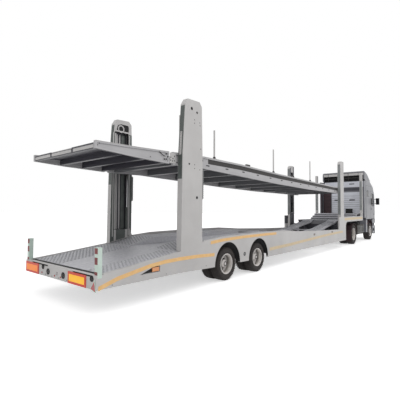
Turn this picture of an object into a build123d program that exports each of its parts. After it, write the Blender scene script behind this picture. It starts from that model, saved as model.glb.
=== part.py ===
from build123d import *
import math
import os

# A car transporter: tractor unit and two-deck semi-trailer, hinged at the kingpin.
# Lengths in millimetres. x is the station forward of the tail, y is left, z is up, 0 is the road.
# Everything is modelled at its station and moved back by half the overall length when it is written.

# Widths
trailer_width = 2550
half_width = trailer_width / 2
body_inset = 30
seat_gap = 0.3
running_fit = 0.05

# Wheels; the heights of frames and decks follow from the tyres
trailer_tyre_radius = 393
trailer_tyre_width = 245
trailer_rim_radius = 230
twin_gap = 30
tractor_tyre_radius = 504
tractor_tyre_width = 315
tractor_rim_radius = 290
tractor_twin_gap = 35
wheel_face = half_width - body_inset
arch_gap = 127
arch_radius = trailer_tyre_radius + arch_gap
liner_thickness = 15
axle_radius = 60

# Chain of lengths from the tail to the nose of the cab
tail_face = 12
tail_depth = 128
platform_length = 1760
rear_post_length = 660
first_axle_lead = 1640
axle_spacing = 1460
hump_run = 1600
well_length = 3200
ramp_length = 2390
leg_length = 1010
neck_length = 3220
kingpin_setback = 1120
kingpin_lead = 550
wheelbase = 3520
cab_setback = 970
front_overhang = 1370
nose_gap = 10

tail_front = tail_face + tail_depth
rear_post_back = tail_front + platform_length
rear_post_front = rear_post_back + rear_post_length
first_axle = rear_post_back + first_axle_lead
last_axle = first_axle + axle_spacing
hump_end = last_axle + hump_run
ramp_start = hump_end + well_length
leg_rear = ramp_start + ramp_length
leg_front = leg_rear + leg_length
neck_front = leg_front + neck_length
kingpin_station = neck_front - kingpin_setback
rear_axle_station = kingpin_station - kingpin_lead
front_axle_station = rear_axle_station + wheelbase
cab_rear = front_axle_station - cab_setback
cab_nose = front_axle_station + front_overhang
overall_length = cab_nose + nose_gap

# Lower side walls
wall_thickness = 60
wall_inner = half_width - wall_thickness
wall_height = 2 * trailer_tyre_radius + 264
tail_bottom = 420
tail_top = 650
skirt_height = 350
leg_bottom = 320
neck_clearance = 112
neck_bottom = 2 * tractor_tyre_radius + neck_clearance
panel_bottom = neck_bottom + 45
panel_top = neck_bottom + 280
panel_bend = 250
neck_deck_top = neck_bottom + 100

# Main frame
beam_inner = 480
beam_outer = 620
beam_depth = 100
beam_bottom = trailer_tyre_radius + 67
beam_top = beam_bottom + beam_depth
cross_member_width = 80
cross_member_top = beam_top + 70
bulkhead_depth = 200
bulkhead_front = leg_front - 50
bulkhead_rear = bulkhead_front - bulkhead_depth
bulkhead_top = neck_bottom - 80
neck_beam_inner = 880
neck_beam_outer = 1000
coupler_plate = 12
deck_sheet = 30
track_inner = 420
ramp_track_inner = 385
ramp_track_outer = 830
flange = 12

# Lift posts
post_depth = 130
post_plate = 14
post_lip = 120
lip_thickness = 12
rear_post_top = 3990
front_post_back = leg_rear + 240
front_post_length = 490
front_post_front = front_post_back + front_post_length
front_post_top = 3950
post_inner = half_width - post_depth
slim_post_width = 110
slim_post_top = 3760
slim_post_station = neck_front - slim_post_width - 10

# Upper deck
deck_height = 2870
deck_half = post_inner - 10
rail_width = 60
rail_recess = 14
deck_rear = rear_post_back - 100
deck_front = leg_front + 100
deck_drop = 70
deck_plate = 35
pan_plate = 8
deck_track_inner = track_inner - 40
hinge_station = deck_rear - 50
hinge_height = deck_height - 230
hinge_pin_radius = 18
flap_rear = 50
flap_front = hinge_station - 60
pivot_station = front_post_back + front_post_length / 2
pivot_height = deck_height - 260
pivot_radius = 30
stanchion_radius = 20
stanchion_top = deck_height + 680

# Lift cylinders: the travel of each rod sets the length of rod and barrel
ram_radius = 25
barrel_radius = 46
barrel_floor = 15
rod_engagement = 45
rear_ram_station = rear_post_front - 100
rear_drop = 540
rear_rise = 145
front_ram_station = front_post_front - 70
front_drop = 400
front_rise = 200
ram_side = half_width - 66

# Tractor frame
kingpin_radius = 25.4
rail_inner = 375
rail_outer = 445
rail_bottom = tractor_tyre_radius + 236
rail_top = rail_bottom + 260
frame_rear = rear_axle_station - 790
frame_front = cab_nose - 140
fifth_wheel_thickness = 45
steer_side = 860
steer_pin = 24

# Cab
cab_half = half_width - body_inset
cab_skin = 55
cab_corner = 150
cab_floor = rail_top + 220
cab_roof = 3450
tilt_station = cab_nose - 110
tilt_height = rail_top - 100
tilt_pin = 30
door_rear = cab_nose - 1200
door_front = cab_nose - 310
door_bottom = cab_floor + 20
door_top = 2860
door_gap = 6
hinge_side = cab_half + 14
door_pin = 9
door_eye = 12
spoiler_rise = 540
spoiler_top = cab_roof + spoiler_rise
mirror_low = 2080
mirror_high = mirror_low + 400


def block(x0, x1, y0, y1, z0, z1):
    return Pos((x0 + x1) / 2, (y0 + y1) / 2, (z0 + z1) / 2) * Box(x1 - x0, y1 - y0, z1 - z0)


def slab(outline, y0, y1):
    # outline is a closed list of station, height; the slab fills it from y0 to y1
    wire = Polyline([(x, y0, z) for x, z in outline], close=True)
    return extrude(make_face(wire), amount=y1 - y0, dir=(0, 1, 0))


def band(line, thickness, y0, y1):
    # a folded sheet whose upper face follows the line
    return slab(line + [(x, z - thickness) for x, z in reversed(line)], y0, y1)


def across(radius, x, z, y0, y1):
    # a round bar along y
    return Pos(x, (y0 + y1) / 2, z) * Rot(90, 0, 0) * Cylinder(radius, y1 - y0)


def upright(radius, x, y, z0, z1):
    return Pos(x, y, (z0 + z1) / 2) * Cylinder(radius, z1 - z0)


def other_side(shape):
    return mirror(shape, about=Plane.XZ)


def both(shape):
    return [shape, other_side(shape)]


def between(start, end, share):
    return start + (end - start) * share


def spaced(start, end, count):
    return [between(start, end, index / (count - 1)) for index in range(count)]


def level(line, x):
    # height of a line of station, height at station x
    for (xa, za), (xb, zb) in zip(line, line[1:]):
        if xa <= x <= xb:
            return za + (zb - za) * (x - xa) / (xb - xa)
    return line[-1][1]


def join(shapes):
    result = shapes[0]
    for shape in shapes[1:]:
        result = result + shape
    return result


nodes = {}


def keep(name, *shapes):
    solids = [solid for shape in shapes for solid in shape.solids()]
    nodes[name] = Compound(children=solids)


# Side walls with wheel arches and a front leg. The right wall carries a tall panel along the gooseneck;
# the left wall rises to the gooseneck deck and stays low.

wall_top_line = [(tail_front, tail_top + 10), (between(tail_front, rear_post_back, 0.29), wall_height - 340),
                 (between(tail_front, rear_post_back, 0.82), wall_height - 240),
                 (between(tail_front, rear_post_back, 0.98), wall_height - 210),
                 (rear_post_front + 100, wall_height - 50), (first_axle - 240, wall_height),
                 (last_axle - 200, wall_height + 15), (hump_end, wall_height + 5),
                 (between(hump_end, ramp_start, 0.375), wall_height - 75), (ramp_start, wall_height - 147),
                 (leg_rear, wall_height - 200)]
wall_bottom_line = [(leg_front, leg_bottom), (hump_end - 1000, skirt_height),
                    (rear_post_back + 1000, skirt_height + 40), (rear_post_back, tail_bottom),
                    (tail_front, tail_bottom)]
right_neck_line = [(leg_rear, panel_top), (neck_front, panel_top), (neck_front, panel_bottom),
                   (leg_front, panel_bottom)]
left_rise_line = [(leg_rear, wall_height - 200), (leg_front - 40, wall_height - 150),
                  (between(leg_front, neck_front, 0.133), wall_height),
                  (between(leg_front, neck_front, 0.3), neck_deck_top - 10),
                  (between(leg_front, neck_front, 0.727), neck_deck_top - 10),
                  (between(leg_front, neck_front, 0.857), panel_top + 20), (neck_front, panel_top + 20)]
haunch_line = [(neck_front, panel_bottom), (between(leg_front, neck_front, 0.37), panel_bottom),
               (between(leg_front, neck_front, 0.248), panel_bottom - 75), (leg_front, 2 * leg_bottom)]


def side_wall(outline):
    wall = slab(outline, wall_inner, half_width)
    corner = [e for e in wall.edges().filter_by(Axis.Y)
              if abs(e.center().X - leg_front) < 1 and abs(e.center().Z - panel_bottom) < 1]
    if corner:
        wall = fillet(corner, panel_bend)
    for station in (first_axle, last_axle):
        wall -= across(arch_radius, station, trailer_tyre_radius, wall_inner - 5, half_width + 5)
    pocket_rear = between(tail_front, rear_post_back, 0.41)
    pocket_front = between(tail_front, rear_post_back, 0.68)
    pocket = [(pocket_rear, tail_bottom + 110), (pocket_front - 150, tail_bottom + 220),
              (pocket_front, tail_bottom + 220), (pocket_front, tail_bottom + 110)]
    return wall - slab(pocket, wall_inner + 25, half_width + 5)


control_box = block(leg_rear - 190, leg_rear - 10, post_inner + 5, half_width - 25, wall_height - 230,
                    wall_height + 400)
left_outline = wall_top_line + left_rise_line[1:] + haunch_line + wall_bottom_line
right_outline = wall_top_line + right_neck_line + wall_bottom_line
keep("side_wall_left", side_wall(left_outline) + control_box)
keep("side_wall_right", other_side(side_wall(right_outline)))

# Main frame under the lower deck, with uprights behind the bulkhead that carries the gooseneck

beam = block(tail_front, bulkhead_rear, beam_inner, beam_outer, beam_bottom, beam_top)
beam += block(bulkhead_rear - 350, bulkhead_rear, beam_inner, beam_outer, beam_bottom, bulkhead_top - 120)
keep("main_frame", *both(beam))

# Cross-members over the beams, clear of the wheels, and the bulkhead in front of them
cross_stations = [tail_front + 280, between(tail_front, rear_post_back, 0.66), rear_post_back + 250,
                  first_axle - 680, between(first_axle, last_axle, 0.5), last_axle + 680]
well_stations = spaced(hump_end + 100, bulkhead_rear - 850, 6)
cross_members = [block(station - cross_member_width / 2, station + cross_member_width / 2,
                       -wall_inner, wall_inner, beam_top, cross_member_top)
                 for station in cross_stations + well_stations]
bulkhead = block(bulkhead_rear, bulkhead_front, -wall_inner, wall_inner, leg_bottom + 40, bulkhead_top)
keep("cross_members", *cross_members, bulkhead)

# Gooseneck: two beams with knees down the bulkhead, cross-beams, coupler plate and kingpin

beam_low = neck_bottom + coupler_plate
neck_beam_top = neck_deck_top - deck_sheet + 10
knee_low = bulkhead_top - 280
neck_outline = [(bulkhead_front, knee_low), (bulkhead_front, neck_beam_top), (neck_front - 90, neck_beam_top),
                (neck_front - 90, beam_low), (leg_front + 400, beam_low), (bulkhead_front + 60, knee_low)]
neck_beam = slab(neck_outline, neck_beam_inner, neck_beam_outer)
neck_parts = both(neck_beam)
for station in spaced(leg_front + 450, neck_front - 420, 4) + [kingpin_station, neck_front - 45]:
    neck_parts.append(block(station - 45, station + 45, -wall_inner, wall_inner, beam_low, neck_beam_top))
neck_parts.append(block(kingpin_station - 600, kingpin_station + 600, -500, 500, neck_bottom, beam_low))
neck_parts.append(upright(kingpin_radius, kingpin_station, 0, neck_bottom - 84, neck_bottom + 2))
keep("gooseneck_frame", join(neck_parts))

# Tail beam with tow socket, lamp holes, slots and sockets for the marker posts

post_socket = 50
marker_rear = tail_face + 18
tail = block(tail_face, tail_front, -half_width, half_width, tail_bottom, tail_top)
# socket: across, height above the tail's lower edge, radius
for side, rise, radius in [(310, 100, 38), (-250, 100, 38), (520, 165, 26), (-1150, 170, 30)]:
    tail -= Pos(tail_face, side, tail_bottom + rise) * Rot(0, 90, 0) * Cylinder(radius, 60)
tail -= block(tail_face - 5, tail_face + 30, -40, -10, tail_bottom + 75, tail_bottom + 135)
for y0, y1 in [(330, 1000), (-1150, -560)]:
    tail -= block(tail_face - 5, tail_face + 40, y0, y1, tail_top - 40, tail_top - 12)
for notch in both(block(marker_rear, marker_rear + 80, half_width - 85, half_width + 5,
                        tail_top - post_socket, tail_top + 5)):
    tail -= notch
keep("tail_beam", tail)

# Marker plates and the corner reflector sit on the tail face

plate_width = 565
plate_height = tail_top - tail_bottom - 30
plates = []
for outer in [half_width - 13, -420]:
    plates.append(block(0, tail_face, outer - plate_width, outer, tail_bottom + 1,
                        tail_bottom + 1 + plate_height))
triangle = Polyline([(0, -half_width, tail_bottom + 4), (0, -half_width + 150, tail_bottom + 4),
                     (0, -half_width + 30, tail_bottom + 135)], close=True)
plates.append(extrude(make_face(triangle), amount=tail_face, dir=(1, 0, 0)))
keep("marker_plates", *plates)

marker_top = tail_top + 420
keep("marker_posts", *both(block(marker_rear, marker_rear + 80, half_width - 85, half_width,
                                 tail_top - post_socket, marker_top)))

# Rear platform between the walls

platform_line = [(tail_front, tail_top - 10), (rear_post_back, wall_height - 220)]
keep("rear_platform", band(platform_line, deck_sheet, -wall_inner, wall_inner))

# Deck over the wheels: two raised tracks with upright webs, and a sunk pan between them

hump_line = [platform_line[-1], (rear_post_back + 800, wall_height - 65), (hump_end, wall_height - 45)]
pan_line = [(rear_post_back, wall_height - 220), (hump_end, wall_height - 200)]
hump_track = band(hump_line, deck_sheet + 10, track_inner, wall_inner)
hump_web = slab(hump_line + [(x, z - deck_sheet) for x, z in reversed(pan_line)], track_inner,
                track_inner + flange)
hump_pan = band(pan_line, deck_sheet, -track_inner, track_inner)
keep("wheel_deck", join(both(hump_track + hump_web) + [hump_pan]))

# Wheel tracks: wide through the well, then narrow flanged tracks up the ramp

track_depth = 45
well_line = [hump_line[-1], (between(hump_end, ramp_start, 0.375), wall_height - 160),
             (between(hump_end, ramp_start, 0.75), wall_height - 205), (ramp_start, wall_height - 280)]
neck_deck_rear = leg_front + 300
ramp_line = [well_line[-1], (between(ramp_start, leg_rear, 0.63), wall_height - 170),
             (leg_rear - 90, wall_height - 50), (bulkhead_rear + 50, neck_deck_top - 120),
             (neck_deck_rear, neck_deck_top)]
track = band(well_line, track_depth, track_inner, wall_inner)
ramp_track = band(ramp_line, track_depth, ramp_track_inner, ramp_track_outer)
for y0 in (ramp_track_inner, ramp_track_outer - flange):
    edge_line = [(x, z + 28) for x, z in ramp_line] + [(x, z - track_depth) for x, z in reversed(ramp_line)]
    ramp_track += slab(edge_line, y0, y0 + flange)
for station in well_stations[-2:]:
    ramp_track += block(station - 30, station + 30, 560, 650, cross_member_top,
                        level(ramp_line, station) - 35)
ladder_bar = 14
for station in spaced(leg_rear, neck_deck_rear - 120, 9):
    height = level(ramp_line, station)
    ramp_track += block(station - ladder_bar, station + ladder_bar, ramp_track_inner, ramp_track_outer,
                        height - 20, height + 18)
tie_station = between(ramp_start, leg_rear, 0.55)
tie_height = level(ramp_line, tie_station)
ramp_tie = block(tie_station - 60, tie_station + 60, -ramp_track_inner - 2, ramp_track_inner + 2,
                 tie_height - track_depth, tie_height - 8)
keep("wheel_tracks", join(both(track + ramp_track) + [ramp_tie]))

# Deck on the gooseneck: a flat sheet, then steps up to the front stop platform

step_start = neck_front - 1270
step_run = 20
# step: start forward of the first step, height above the deck
steps_table = [(0, 100), (250, 200), (560, 310)]
step_line = [(step_start, neck_deck_top)]
for run, rise in steps_table:
    step_line.append((step_start + run, step_line[-1][1]))
    step_line.append((step_start + run + step_run, neck_deck_top + rise))
step_line = step_line[1:] + [(neck_front, step_line[-1][1])]
neck_sheet = deck_sheet - 10
step_half = post_inner - 5
neck_plate = block(neck_deck_rear, step_start, -wall_inner, wall_inner, neck_deck_top - neck_sheet,
                   neck_deck_top)
neck_steps = band(step_line, neck_sheet, -step_half, step_half)
neck_end = block(neck_front - neck_sheet, neck_front, -step_half, step_half, neck_deck_top - neck_sheet,
                 step_line[-1][1] - 5)
neck_bars = [block(station - 20, station + 20, -step_half + 30, step_half - 30, step_line[-1][1] - 5,
                   step_line[-1][1] + 18) for station in spaced(step_start + 700, neck_front - 60, 4)]
keep("gooseneck_deck", join([neck_plate, neck_steps, neck_end] + neck_bars))


# Lift posts: open channels with lips, standing on the side walls

def lift_post(outline, slot_low):
    xs = [x for x, z in outline]
    zs = [z for x, z in outline]
    x_mid = (min(xs) + max(xs)) / 2
    z_mid = (min(zs) + max(zs)) / 2
    kx = 1 - 2 * post_plate / (max(xs) - min(xs))
    kz = 1 - 2 * post_plate / (max(zs) - min(zs))
    inside = [(x_mid + (x - x_mid) * kx, z_mid + (z - z_mid) * kz) for x, z in outline]
    post = slab(outline, post_inner, half_width)
    post -= slab(inside, post_inner + lip_thickness, half_width - post_plate)
    slot_high = max(zs) - 330
    post -= block(min(xs) + post_lip, max(xs) - post_lip, post_inner - 5, post_inner + lip_thickness + 5,
                  slot_low, slot_high)
    return post


def sheave(x, z, radius):
    # grooved rope wheel held between the plates of a post
    y0 = post_inner + lip_thickness
    y1 = half_width - post_plate
    middle = (y0 + y1) / 2
    rope_groove = across(radius + 5, x, z, middle - 6, middle + 6)
    rope_groove -= across(radius - 14, x, z, middle - 7, middle + 7)
    return across(radius, x, z, middle - 16, middle + 16) - rope_groove + across(22, x, z, y0 - 8, y1)


def toothed_strip(edge, z0, z1, pitch, y0, y1):
    # lock strip standing off a post's rear edge; edge gives the station at a height
    count = int((z1 - z0) / pitch)
    points = [(edge(z0) + 6, z0)]
    for index in range(count):
        z = z0 + index * pitch
        points += [(edge(z) - 8, z), (edge(z) - 20, z + pitch * 0.3), (edge(z) - 20, z + pitch * 0.55),
                   (edge(z) - 8, z + pitch * 0.7)]
    points.append((edge(z0 + count * pitch) + 6, z0 + count * pitch))
    return slab(points, y0, y1)


def rear_edge(z):
    # station of the rear post's rear edge
    foot = wall_height - 200
    shoulder = rear_post_top - 1140
    if z < shoulder:
        return between(rear_post_back, rear_post_back + 35, (z - foot) / (shoulder - foot))
    return between(rear_post_back + 35, rear_post_back + 100, (z - shoulder) / 1000)


# outline of the rear post above its foot: run forward of its back, drop below its top
rear_head_table = [(35, 1140), (100, 140), (175, 20), (rear_post_length - 110, 0),
                   (rear_post_length - 30, 90), (rear_post_length, 1140)]
rear_head_line = [(rear_post_back + run, rear_post_top - drop) for run, drop in rear_head_table]
rear_foot = [(x, level(wall_top_line, x)) for x in (rear_post_back, rear_post_front)]
rear_post = lift_post([rear_foot[0]] + rear_head_line + [rear_foot[1]], wall_height + 120)
rear_post += sheave(rear_post_back + 330, rear_post_top - 170, 115)
rear_post += toothed_strip(rear_edge, deck_height - 80, deck_height + 410, 35, half_width - 90,
                           half_width - 40)
rear_post += block(rear_post_front - 3, rear_post_front + 12, half_width - 95, half_width - 35,
                   wall_height + 730, wall_height + 1350)
rear_post += slab([(rear_post_front - 70, wall_height + 150), (rear_post_front + 25, wall_height - 55),
                   (rear_post_front - 70, wall_height - 60)], post_inner - 10, post_inner)

# outline of the front post above its foot: share of its length, drop below its top
front_head_table = [(0, 150), (0.09, 45), (0.29, 0), (0.95, 0), (1, 25)]
front_head_line = [(between(front_post_back, front_post_front, share), front_post_top - drop)
                   for share, drop in front_head_table]
front_slot_low = panel_top + 200


def front_post(foot_line):
    foot = [(x, level(foot_line, x)) for x in (front_post_back, front_post_front)]
    post = lift_post([foot[0]] + front_head_line + [foot[1]], front_slot_low)
    return post + sheave(front_post_front - 165, front_post_top - 190, 105)


barrel_shelf = block(front_post_back + post_plate - 1, front_post_front - post_plate + 1,
                     post_inner + lip_thickness - 1, half_width - post_plate + 1, panel_top,
                     panel_top + post_plate)
left_front_post = front_post(left_rise_line) + barrel_shelf
right_front_post = other_side(front_post([(leg_rear, panel_top), (neck_front, panel_top)]) + barrel_shelf)


def slim_post(foot):
    front = slim_post_station + slim_post_width
    post = block(slim_post_station, front, post_inner, half_width, foot, slim_post_top)
    post += block(slim_post_station - 35, slim_post_station, post_inner + 30, half_width - 30,
                  slim_post_top - 430, slim_post_top - 340)
    gusset = [(slim_post_station - 220, foot), (slim_post_station, foot + 260), (slim_post_station, foot)]
    post += slab(gusset, half_width - 50, half_width - 38)
    return post


keep("rear_posts", *both(rear_post))
slim_posts = [slim_post(panel_top + 20), other_side(slim_post(panel_top))]
keep("front_posts", left_front_post, right_front_post, *slim_posts)


# Lift cylinder barrels in the posts

def barrel(station, z0, z1):
    tube = upright(barrel_radius, station, ram_side, z0, z1)
    tube += upright(barrel_radius + 4, station, ram_side, z1 - 40, z1)
    return tube - upright(ram_radius + running_fit, station, ram_side, z0 + barrel_floor, z1 + 5)


rear_barrel_foot = level(wall_top_line, rear_ram_station + barrel_radius) + post_plate + 5 * seat_gap
rear_rod_foot = rear_barrel_foot + barrel_floor + rear_drop + 10
rear_barrel_top = rear_rod_foot + rear_rise + rod_engagement
front_barrel_foot = panel_top + post_plate + seat_gap
front_rod_foot = front_barrel_foot + barrel_floor + front_drop + 10
front_barrel_top = front_rod_foot + front_rise + rod_engagement
rear_barrel = barrel(rear_ram_station, rear_barrel_foot, rear_barrel_top)
front_barrel = barrel(front_ram_station, front_barrel_foot, front_barrel_top)
keep("lift_barrels", *both(rear_barrel), *both(front_barrel))


# Trailer axles with trailing arms and air springs

def trailer_axle(station):
    z = trailer_tyre_radius
    parts = [across(axle_radius, station, z, -1090, 1090)]
    for side in (-1, 1):
        y0, y1 = sorted((side * 510, side * 590))
        # arm: run forward of the axle, height above it
        arm = [(-520, 20), (-520, 67), (-420, 67), (60, 35), (260, -20), (260, -60), (-80, -40), (-420, -10)]
        parts.append(slab([(station + run, z + rise) for run, rise in arm], y0, y1))
        parts.append(upright(75, station + 200, side * 550, z - 30, beam_bottom))
    return join(parts)


keep("trailer_axles", *[trailer_axle(station) for station in (first_axle, last_axle)])


def liner(x, z, inner, thickness, y0, y1, low_angle):
    # a curved mudguard sheet over a wheel
    ring = across(inner + thickness, x, z, y0, y1) - across(inner, x, z, y0 - 5, y1 + 5)
    reach = 2 * inner
    low = inner * math.sin(math.radians(low_angle))
    return ring - block(x - reach, x + reach, y0 - 10, y1 + 10, z - reach, z + low)


liners = []
for station in (first_axle, last_axle):
    liners += both(liner(station, trailer_tyre_radius, arch_radius, liner_thickness, 700, wall_inner, 6))
keep("trailer_mudguards", *liners)

# Landing legs, wound up, behind the bulkhead, outside the ramp tracks

leg_station = bulkhead_rear - 250
leg_middle = 970
leg_head = bulkhead_top - 40
landing_leg = block(leg_station - 70, leg_station + 70, leg_middle - 70, leg_middle + 70, beam_top - 80,
                    leg_head)
landing_leg += block(leg_station - 52, leg_station + 52, leg_middle - 52, leg_middle + 52, leg_bottom + 80,
                     beam_top - 80)
landing_leg += block(leg_station - 120, leg_station + 120, leg_middle - 90, leg_middle + 90, leg_bottom + 60,
                     leg_bottom + 80)
landing_leg += block(leg_station + 70, bulkhead_rear, leg_middle - 60, leg_middle + 60, leg_head - 300,
                     leg_head - 20)
landing_leg += across(14, leg_station, leg_head - 240, leg_middle + 70, wall_inner - 10)
landing_leg += block(leg_station - 14, leg_station + 14, wall_inner - 30, wall_inner - 10, leg_head - 420,
                     leg_head - 230)
keep("landing_legs", *both(landing_leg))

# Side lamps in the wall pockets and along the front panels

lamp_rear = between(tail_front, rear_post_back, 0.58)
lamps = [block(lamp_rear, lamp_rear + 165, wall_inner + 25, half_width - 12, tail_bottom + 125,
               tail_bottom + 200)]
for station in (ramp_start - 650, ramp_start + 1400):
    lamps.append(block(station - 60, station + 60, half_width, half_width + 8, wall_height - 280,
                       wall_height - 235))
keep("side_lamps", *[piece for lamp in lamps for piece in both(lamp)])


# Tyres and rims. A wheel is drawn about the y axis from its outer face inwards.

def ring_profile(points, outer_face):
    # points are depth from the outer face, radius; revolved about the axle line
    wire = Polyline([(0, outer_face - depth, radius) for depth, radius in points], close=True)
    return revolve(make_face(wire), Axis.Y)


def tyre(radius, width, rim, outer_face):
    shoulder = 0.16 * width
    wall = radius - rim
    bead = 0.13 * width
    points = [(bead, rim), (bead, rim + 16), (0, rim + 0.42 * wall), (0.02 * width, rim + 0.72 * wall),
              (shoulder, radius - 8), (shoulder * 1.6, radius),
              (width - shoulder * 1.6, radius), (width - shoulder, radius - 8),
              (width * 0.98, rim + 0.72 * wall), (width, rim + 0.42 * wall), (width - bead, rim + 16),
              (width - bead, rim)]
    return ring_profile(points, outer_face)


def rim_band(width, rim, outer_face):
    lip = 0.13 * width
    points = [(lip - 14, rim - 12), (lip - 14, rim + 14), (lip, rim + 14), (lip, rim), (width - lip, rim),
              (width - lip, rim + 14), (width - lip + 14, rim + 14), (width - lip + 14, rim - 12)]
    return ring_profile(points, outer_face)


def hub_disc(rim, outer_face, dish, hub_radius, bore, hub_from, hub_to, thickness):
    # dish is the depth of the bolting face; the disc runs out to the rim as a cone
    seat = dish - 60
    back = dish + thickness
    points = [(dish, bore), (dish, rim * 0.62), (seat, rim * 0.86), (seat - 30, rim - 8), (seat + 10, rim - 8),
              (seat + thickness + 4, rim * 0.86 + 4), (back, rim * 0.62 + 6), (back, bore)]
    disc = ring_profile(points, outer_face)
    hub = ring_profile([(hub_from, bore), (hub_from, hub_radius), (hub_to, hub_radius), (hub_to, bore)],
                       outer_face)
    return disc + hub


def hand_holes(disc, count, at_radius, hole, y0, y1):
    for turn in range(count):
        angle = 2 * math.pi * turn / count
        disc -= across(hole, at_radius * math.cos(angle), at_radius * math.sin(angle), y0, y1)
    return disc


def twin_wheel(radius, width, gap, rim, hub_radius, bore):
    outer = tyre(radius, width, rim, wheel_face)
    inner = tyre(radius, width, rim, wheel_face - width - gap)
    dish = width + gap / 2 - 12
    disc = hub_disc(rim, wheel_face, dish, hub_radius, bore + running_fit, dish - 150, dish + 150, 24)
    disc = hand_holes(disc, 8, rim * 0.74, rim * 0.1, wheel_face - dish - 60, wheel_face - dish + 120)
    bands = rim_band(width, rim, wheel_face) + rim_band(width, rim, wheel_face - width - gap)
    link = ring_profile([(width - 60, rim - 12), (width - 60, rim - 2), (width + gap + 60, rim - 2),
                         (width + gap + 60, rim - 12)], wheel_face)
    cap = ring_profile([(dish - 190, 1), (dish - 190, bore), (dish - 150, hub_radius), (dish - 150, 1)],
                       wheel_face)
    return [outer, inner], bands + link + disc + cap


def single_wheel(radius, width, rim, hub_radius, bore):
    disc = hub_disc(rim, wheel_face, 95, hub_radius, bore + running_fit, 30, 260, 24)
    disc = hand_holes(disc, 8, rim * 0.74, rim * 0.1, wheel_face - 160, wheel_face)
    cap = ring_profile([(10, 1), (10, bore), (30, hub_radius), (30, 1)], wheel_face)
    return [tyre(radius, width, rim, wheel_face)], rim_band(width, rim, wheel_face) + disc + cap


def place_wheel(name, tyres, rims, x, z, left):
    shift = Pos(x, 0, z)
    turn = (lambda s: s) if left else other_side
    keep("tyres_" + name, *[shift * turn(part) for part in tyres])
    keep("rims_" + name, shift * turn(rims))


trailer_tyres, trailer_rims = twin_wheel(trailer_tyre_radius, trailer_tyre_width, twin_gap,
                                         trailer_rim_radius, 95, axle_radius)
for place, station in (("rear", first_axle), ("front", last_axle)):
    for side in ("left", "right"):
        place_wheel("trailer_" + place + "_" + side, trailer_tyres, trailer_rims, station,
                    trailer_tyre_radius, side == "left")


# Upper deck frame: side rails with a recessed web, cross-members, rollers for the rear posts

def rail(line, y0, y1):
    return slab([(x, top) for x, top, low in line] + [(x, low) for x, top, low in reversed(line)], y0, y1)


def recess(line, lip):
    # shallow recess in a rail's outer face, leaving a lip above and below
    inset = [(x, top - lip, low + lip) for x, top, low in line]
    inset = [(inset[0][0] + lip, *inset[0][1:])] + inset[1:-1] + [(inset[-1][0] - lip, *inset[-1][1:])]
    return rail(inset, deck_half - rail_recess, deck_half + 5)


# rail: share of the deck's length, drop of the top below the deck height, depth
rail_table = [(0, 40, 255), (0.087, 0, 270), (0.217, 0, 310), (0.409, 50, 320), (0.626, 80, 320),
              (0.896, 120, 270), (1, 125, 265)]
rail_line = [(between(deck_rear, deck_front, share), deck_height - drop, deck_height - drop - depth)
             for share, drop, depth in rail_table]
flap_table = [(0, 100, 125), (0.396, 85, 175), (1, 45, 240)]
flap_line = [(between(flap_rear, flap_front, share), deck_height - drop, deck_height - drop - depth)
             for share, drop, depth in flap_table]
rail_top_line = [(x, top) for x, top, low in rail_line]
rail_low_line = [(x, low) for x, top, low in rail_line]
rail_inside = deck_half - rail_width
web_face = deck_half - rail_recess
deck_rail = rail(rail_line, rail_inside, deck_half) - recess(rail_line, 38)
deck_rail -= across(pivot_radius + running_fit, pivot_station, pivot_height, rail_inside - 5, deck_half + 5)
ear = block(hinge_station - 30, deck_rear + 10, rail_inside, rail_inside + 25, hinge_height - 30,
            hinge_height + 30)
hinge_bar = across(hinge_pin_radius, hinge_station, hinge_height, rail_inside, deck_half - 5)
roller_station = rear_post_back + 305
roller_neck = block(roller_station - 90, roller_station + 90, web_face - 2, half_width - 100,
                    deck_height - 230, deck_height - 70)
roller_block = block(roller_station - 135, roller_station + 135, half_width - 100, half_width - 40,
                     deck_height - 270, deck_height - 30)
deck_parts = both(deck_rail + ear + hinge_bar + roller_neck + roller_block)
for station in spaced(deck_rear + 200, deck_front - 400, 11):
    low = level(rail_low_line, station)
    deck_parts.append(block(station - 50, station + 50, -rail_inside, rail_inside, low + 20,
                            level(rail_top_line, station) - deck_drop - deck_plate - 6))
keep("deck_frame", join(deck_parts))

# Upper deck wheel tracks between the rails, and the thin pan that closes the gap between them
deck_track_line = [(x, top - deck_drop) for x, top in rail_top_line]
deck_pan = band([(x, z - deck_plate + pan_plate) for x, z in deck_track_line], pan_plate, -deck_track_inner,
                deck_track_inner)
keep("deck_tracks", *both(band(deck_track_line, deck_plate, deck_track_inner, rail_inside)), deck_pan)

stanchions = []
for share in (0.122, 0.383, 0.643):
    station = between(deck_rear, deck_front, share)
    base = level(rail_top_line, station) + 2 * seat_gap
    stanchions.append(upright(stanchion_radius, station, -(deck_half - rail_width / 2), base, stanchion_top))
keep("stanchions", *stanchions)

# Rear flap, hinged to the deck

flap_rail = rail(flap_line, rail_inside, deck_half) - recess(flap_line, 30)
hinge_ear = block(flap_front, hinge_station + 28, deck_half - 34, deck_half - 6, hinge_height - 32,
                  hinge_height + 32)
hinge_ear -= across(hinge_pin_radius + running_fit, hinge_station, hinge_height, deck_half - 60, deck_half + 5)
flap_parts = both(flap_rail + hinge_ear)
flap_top_line = [(x, top) for x, top, low in flap_line]
flap_low_line = [(x, low) for x, top, low in flap_line]
for station in spaced(flap_rear + 50, flap_front - 50, 4):
    flap_parts.append(block(station - 40, station + 40, -rail_inside, rail_inside,
                            level(flap_low_line, station) + 10, level(flap_top_line, station) - 50))
flap_track = band([(x, z - 25) for x, z in flap_top_line], 25, deck_track_inner, rail_inside)
flap_pan = band([(x, z - 50 + pan_plate) for x, z in flap_top_line], pan_plate, -deck_track_inner - 2,
                deck_track_inner + 2)
keep("deck_flap", join(flap_parts + both(flap_track) + [flap_pan]))

# Front carriages: blocks in the front posts, pins into the deck rails, piston rods

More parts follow.
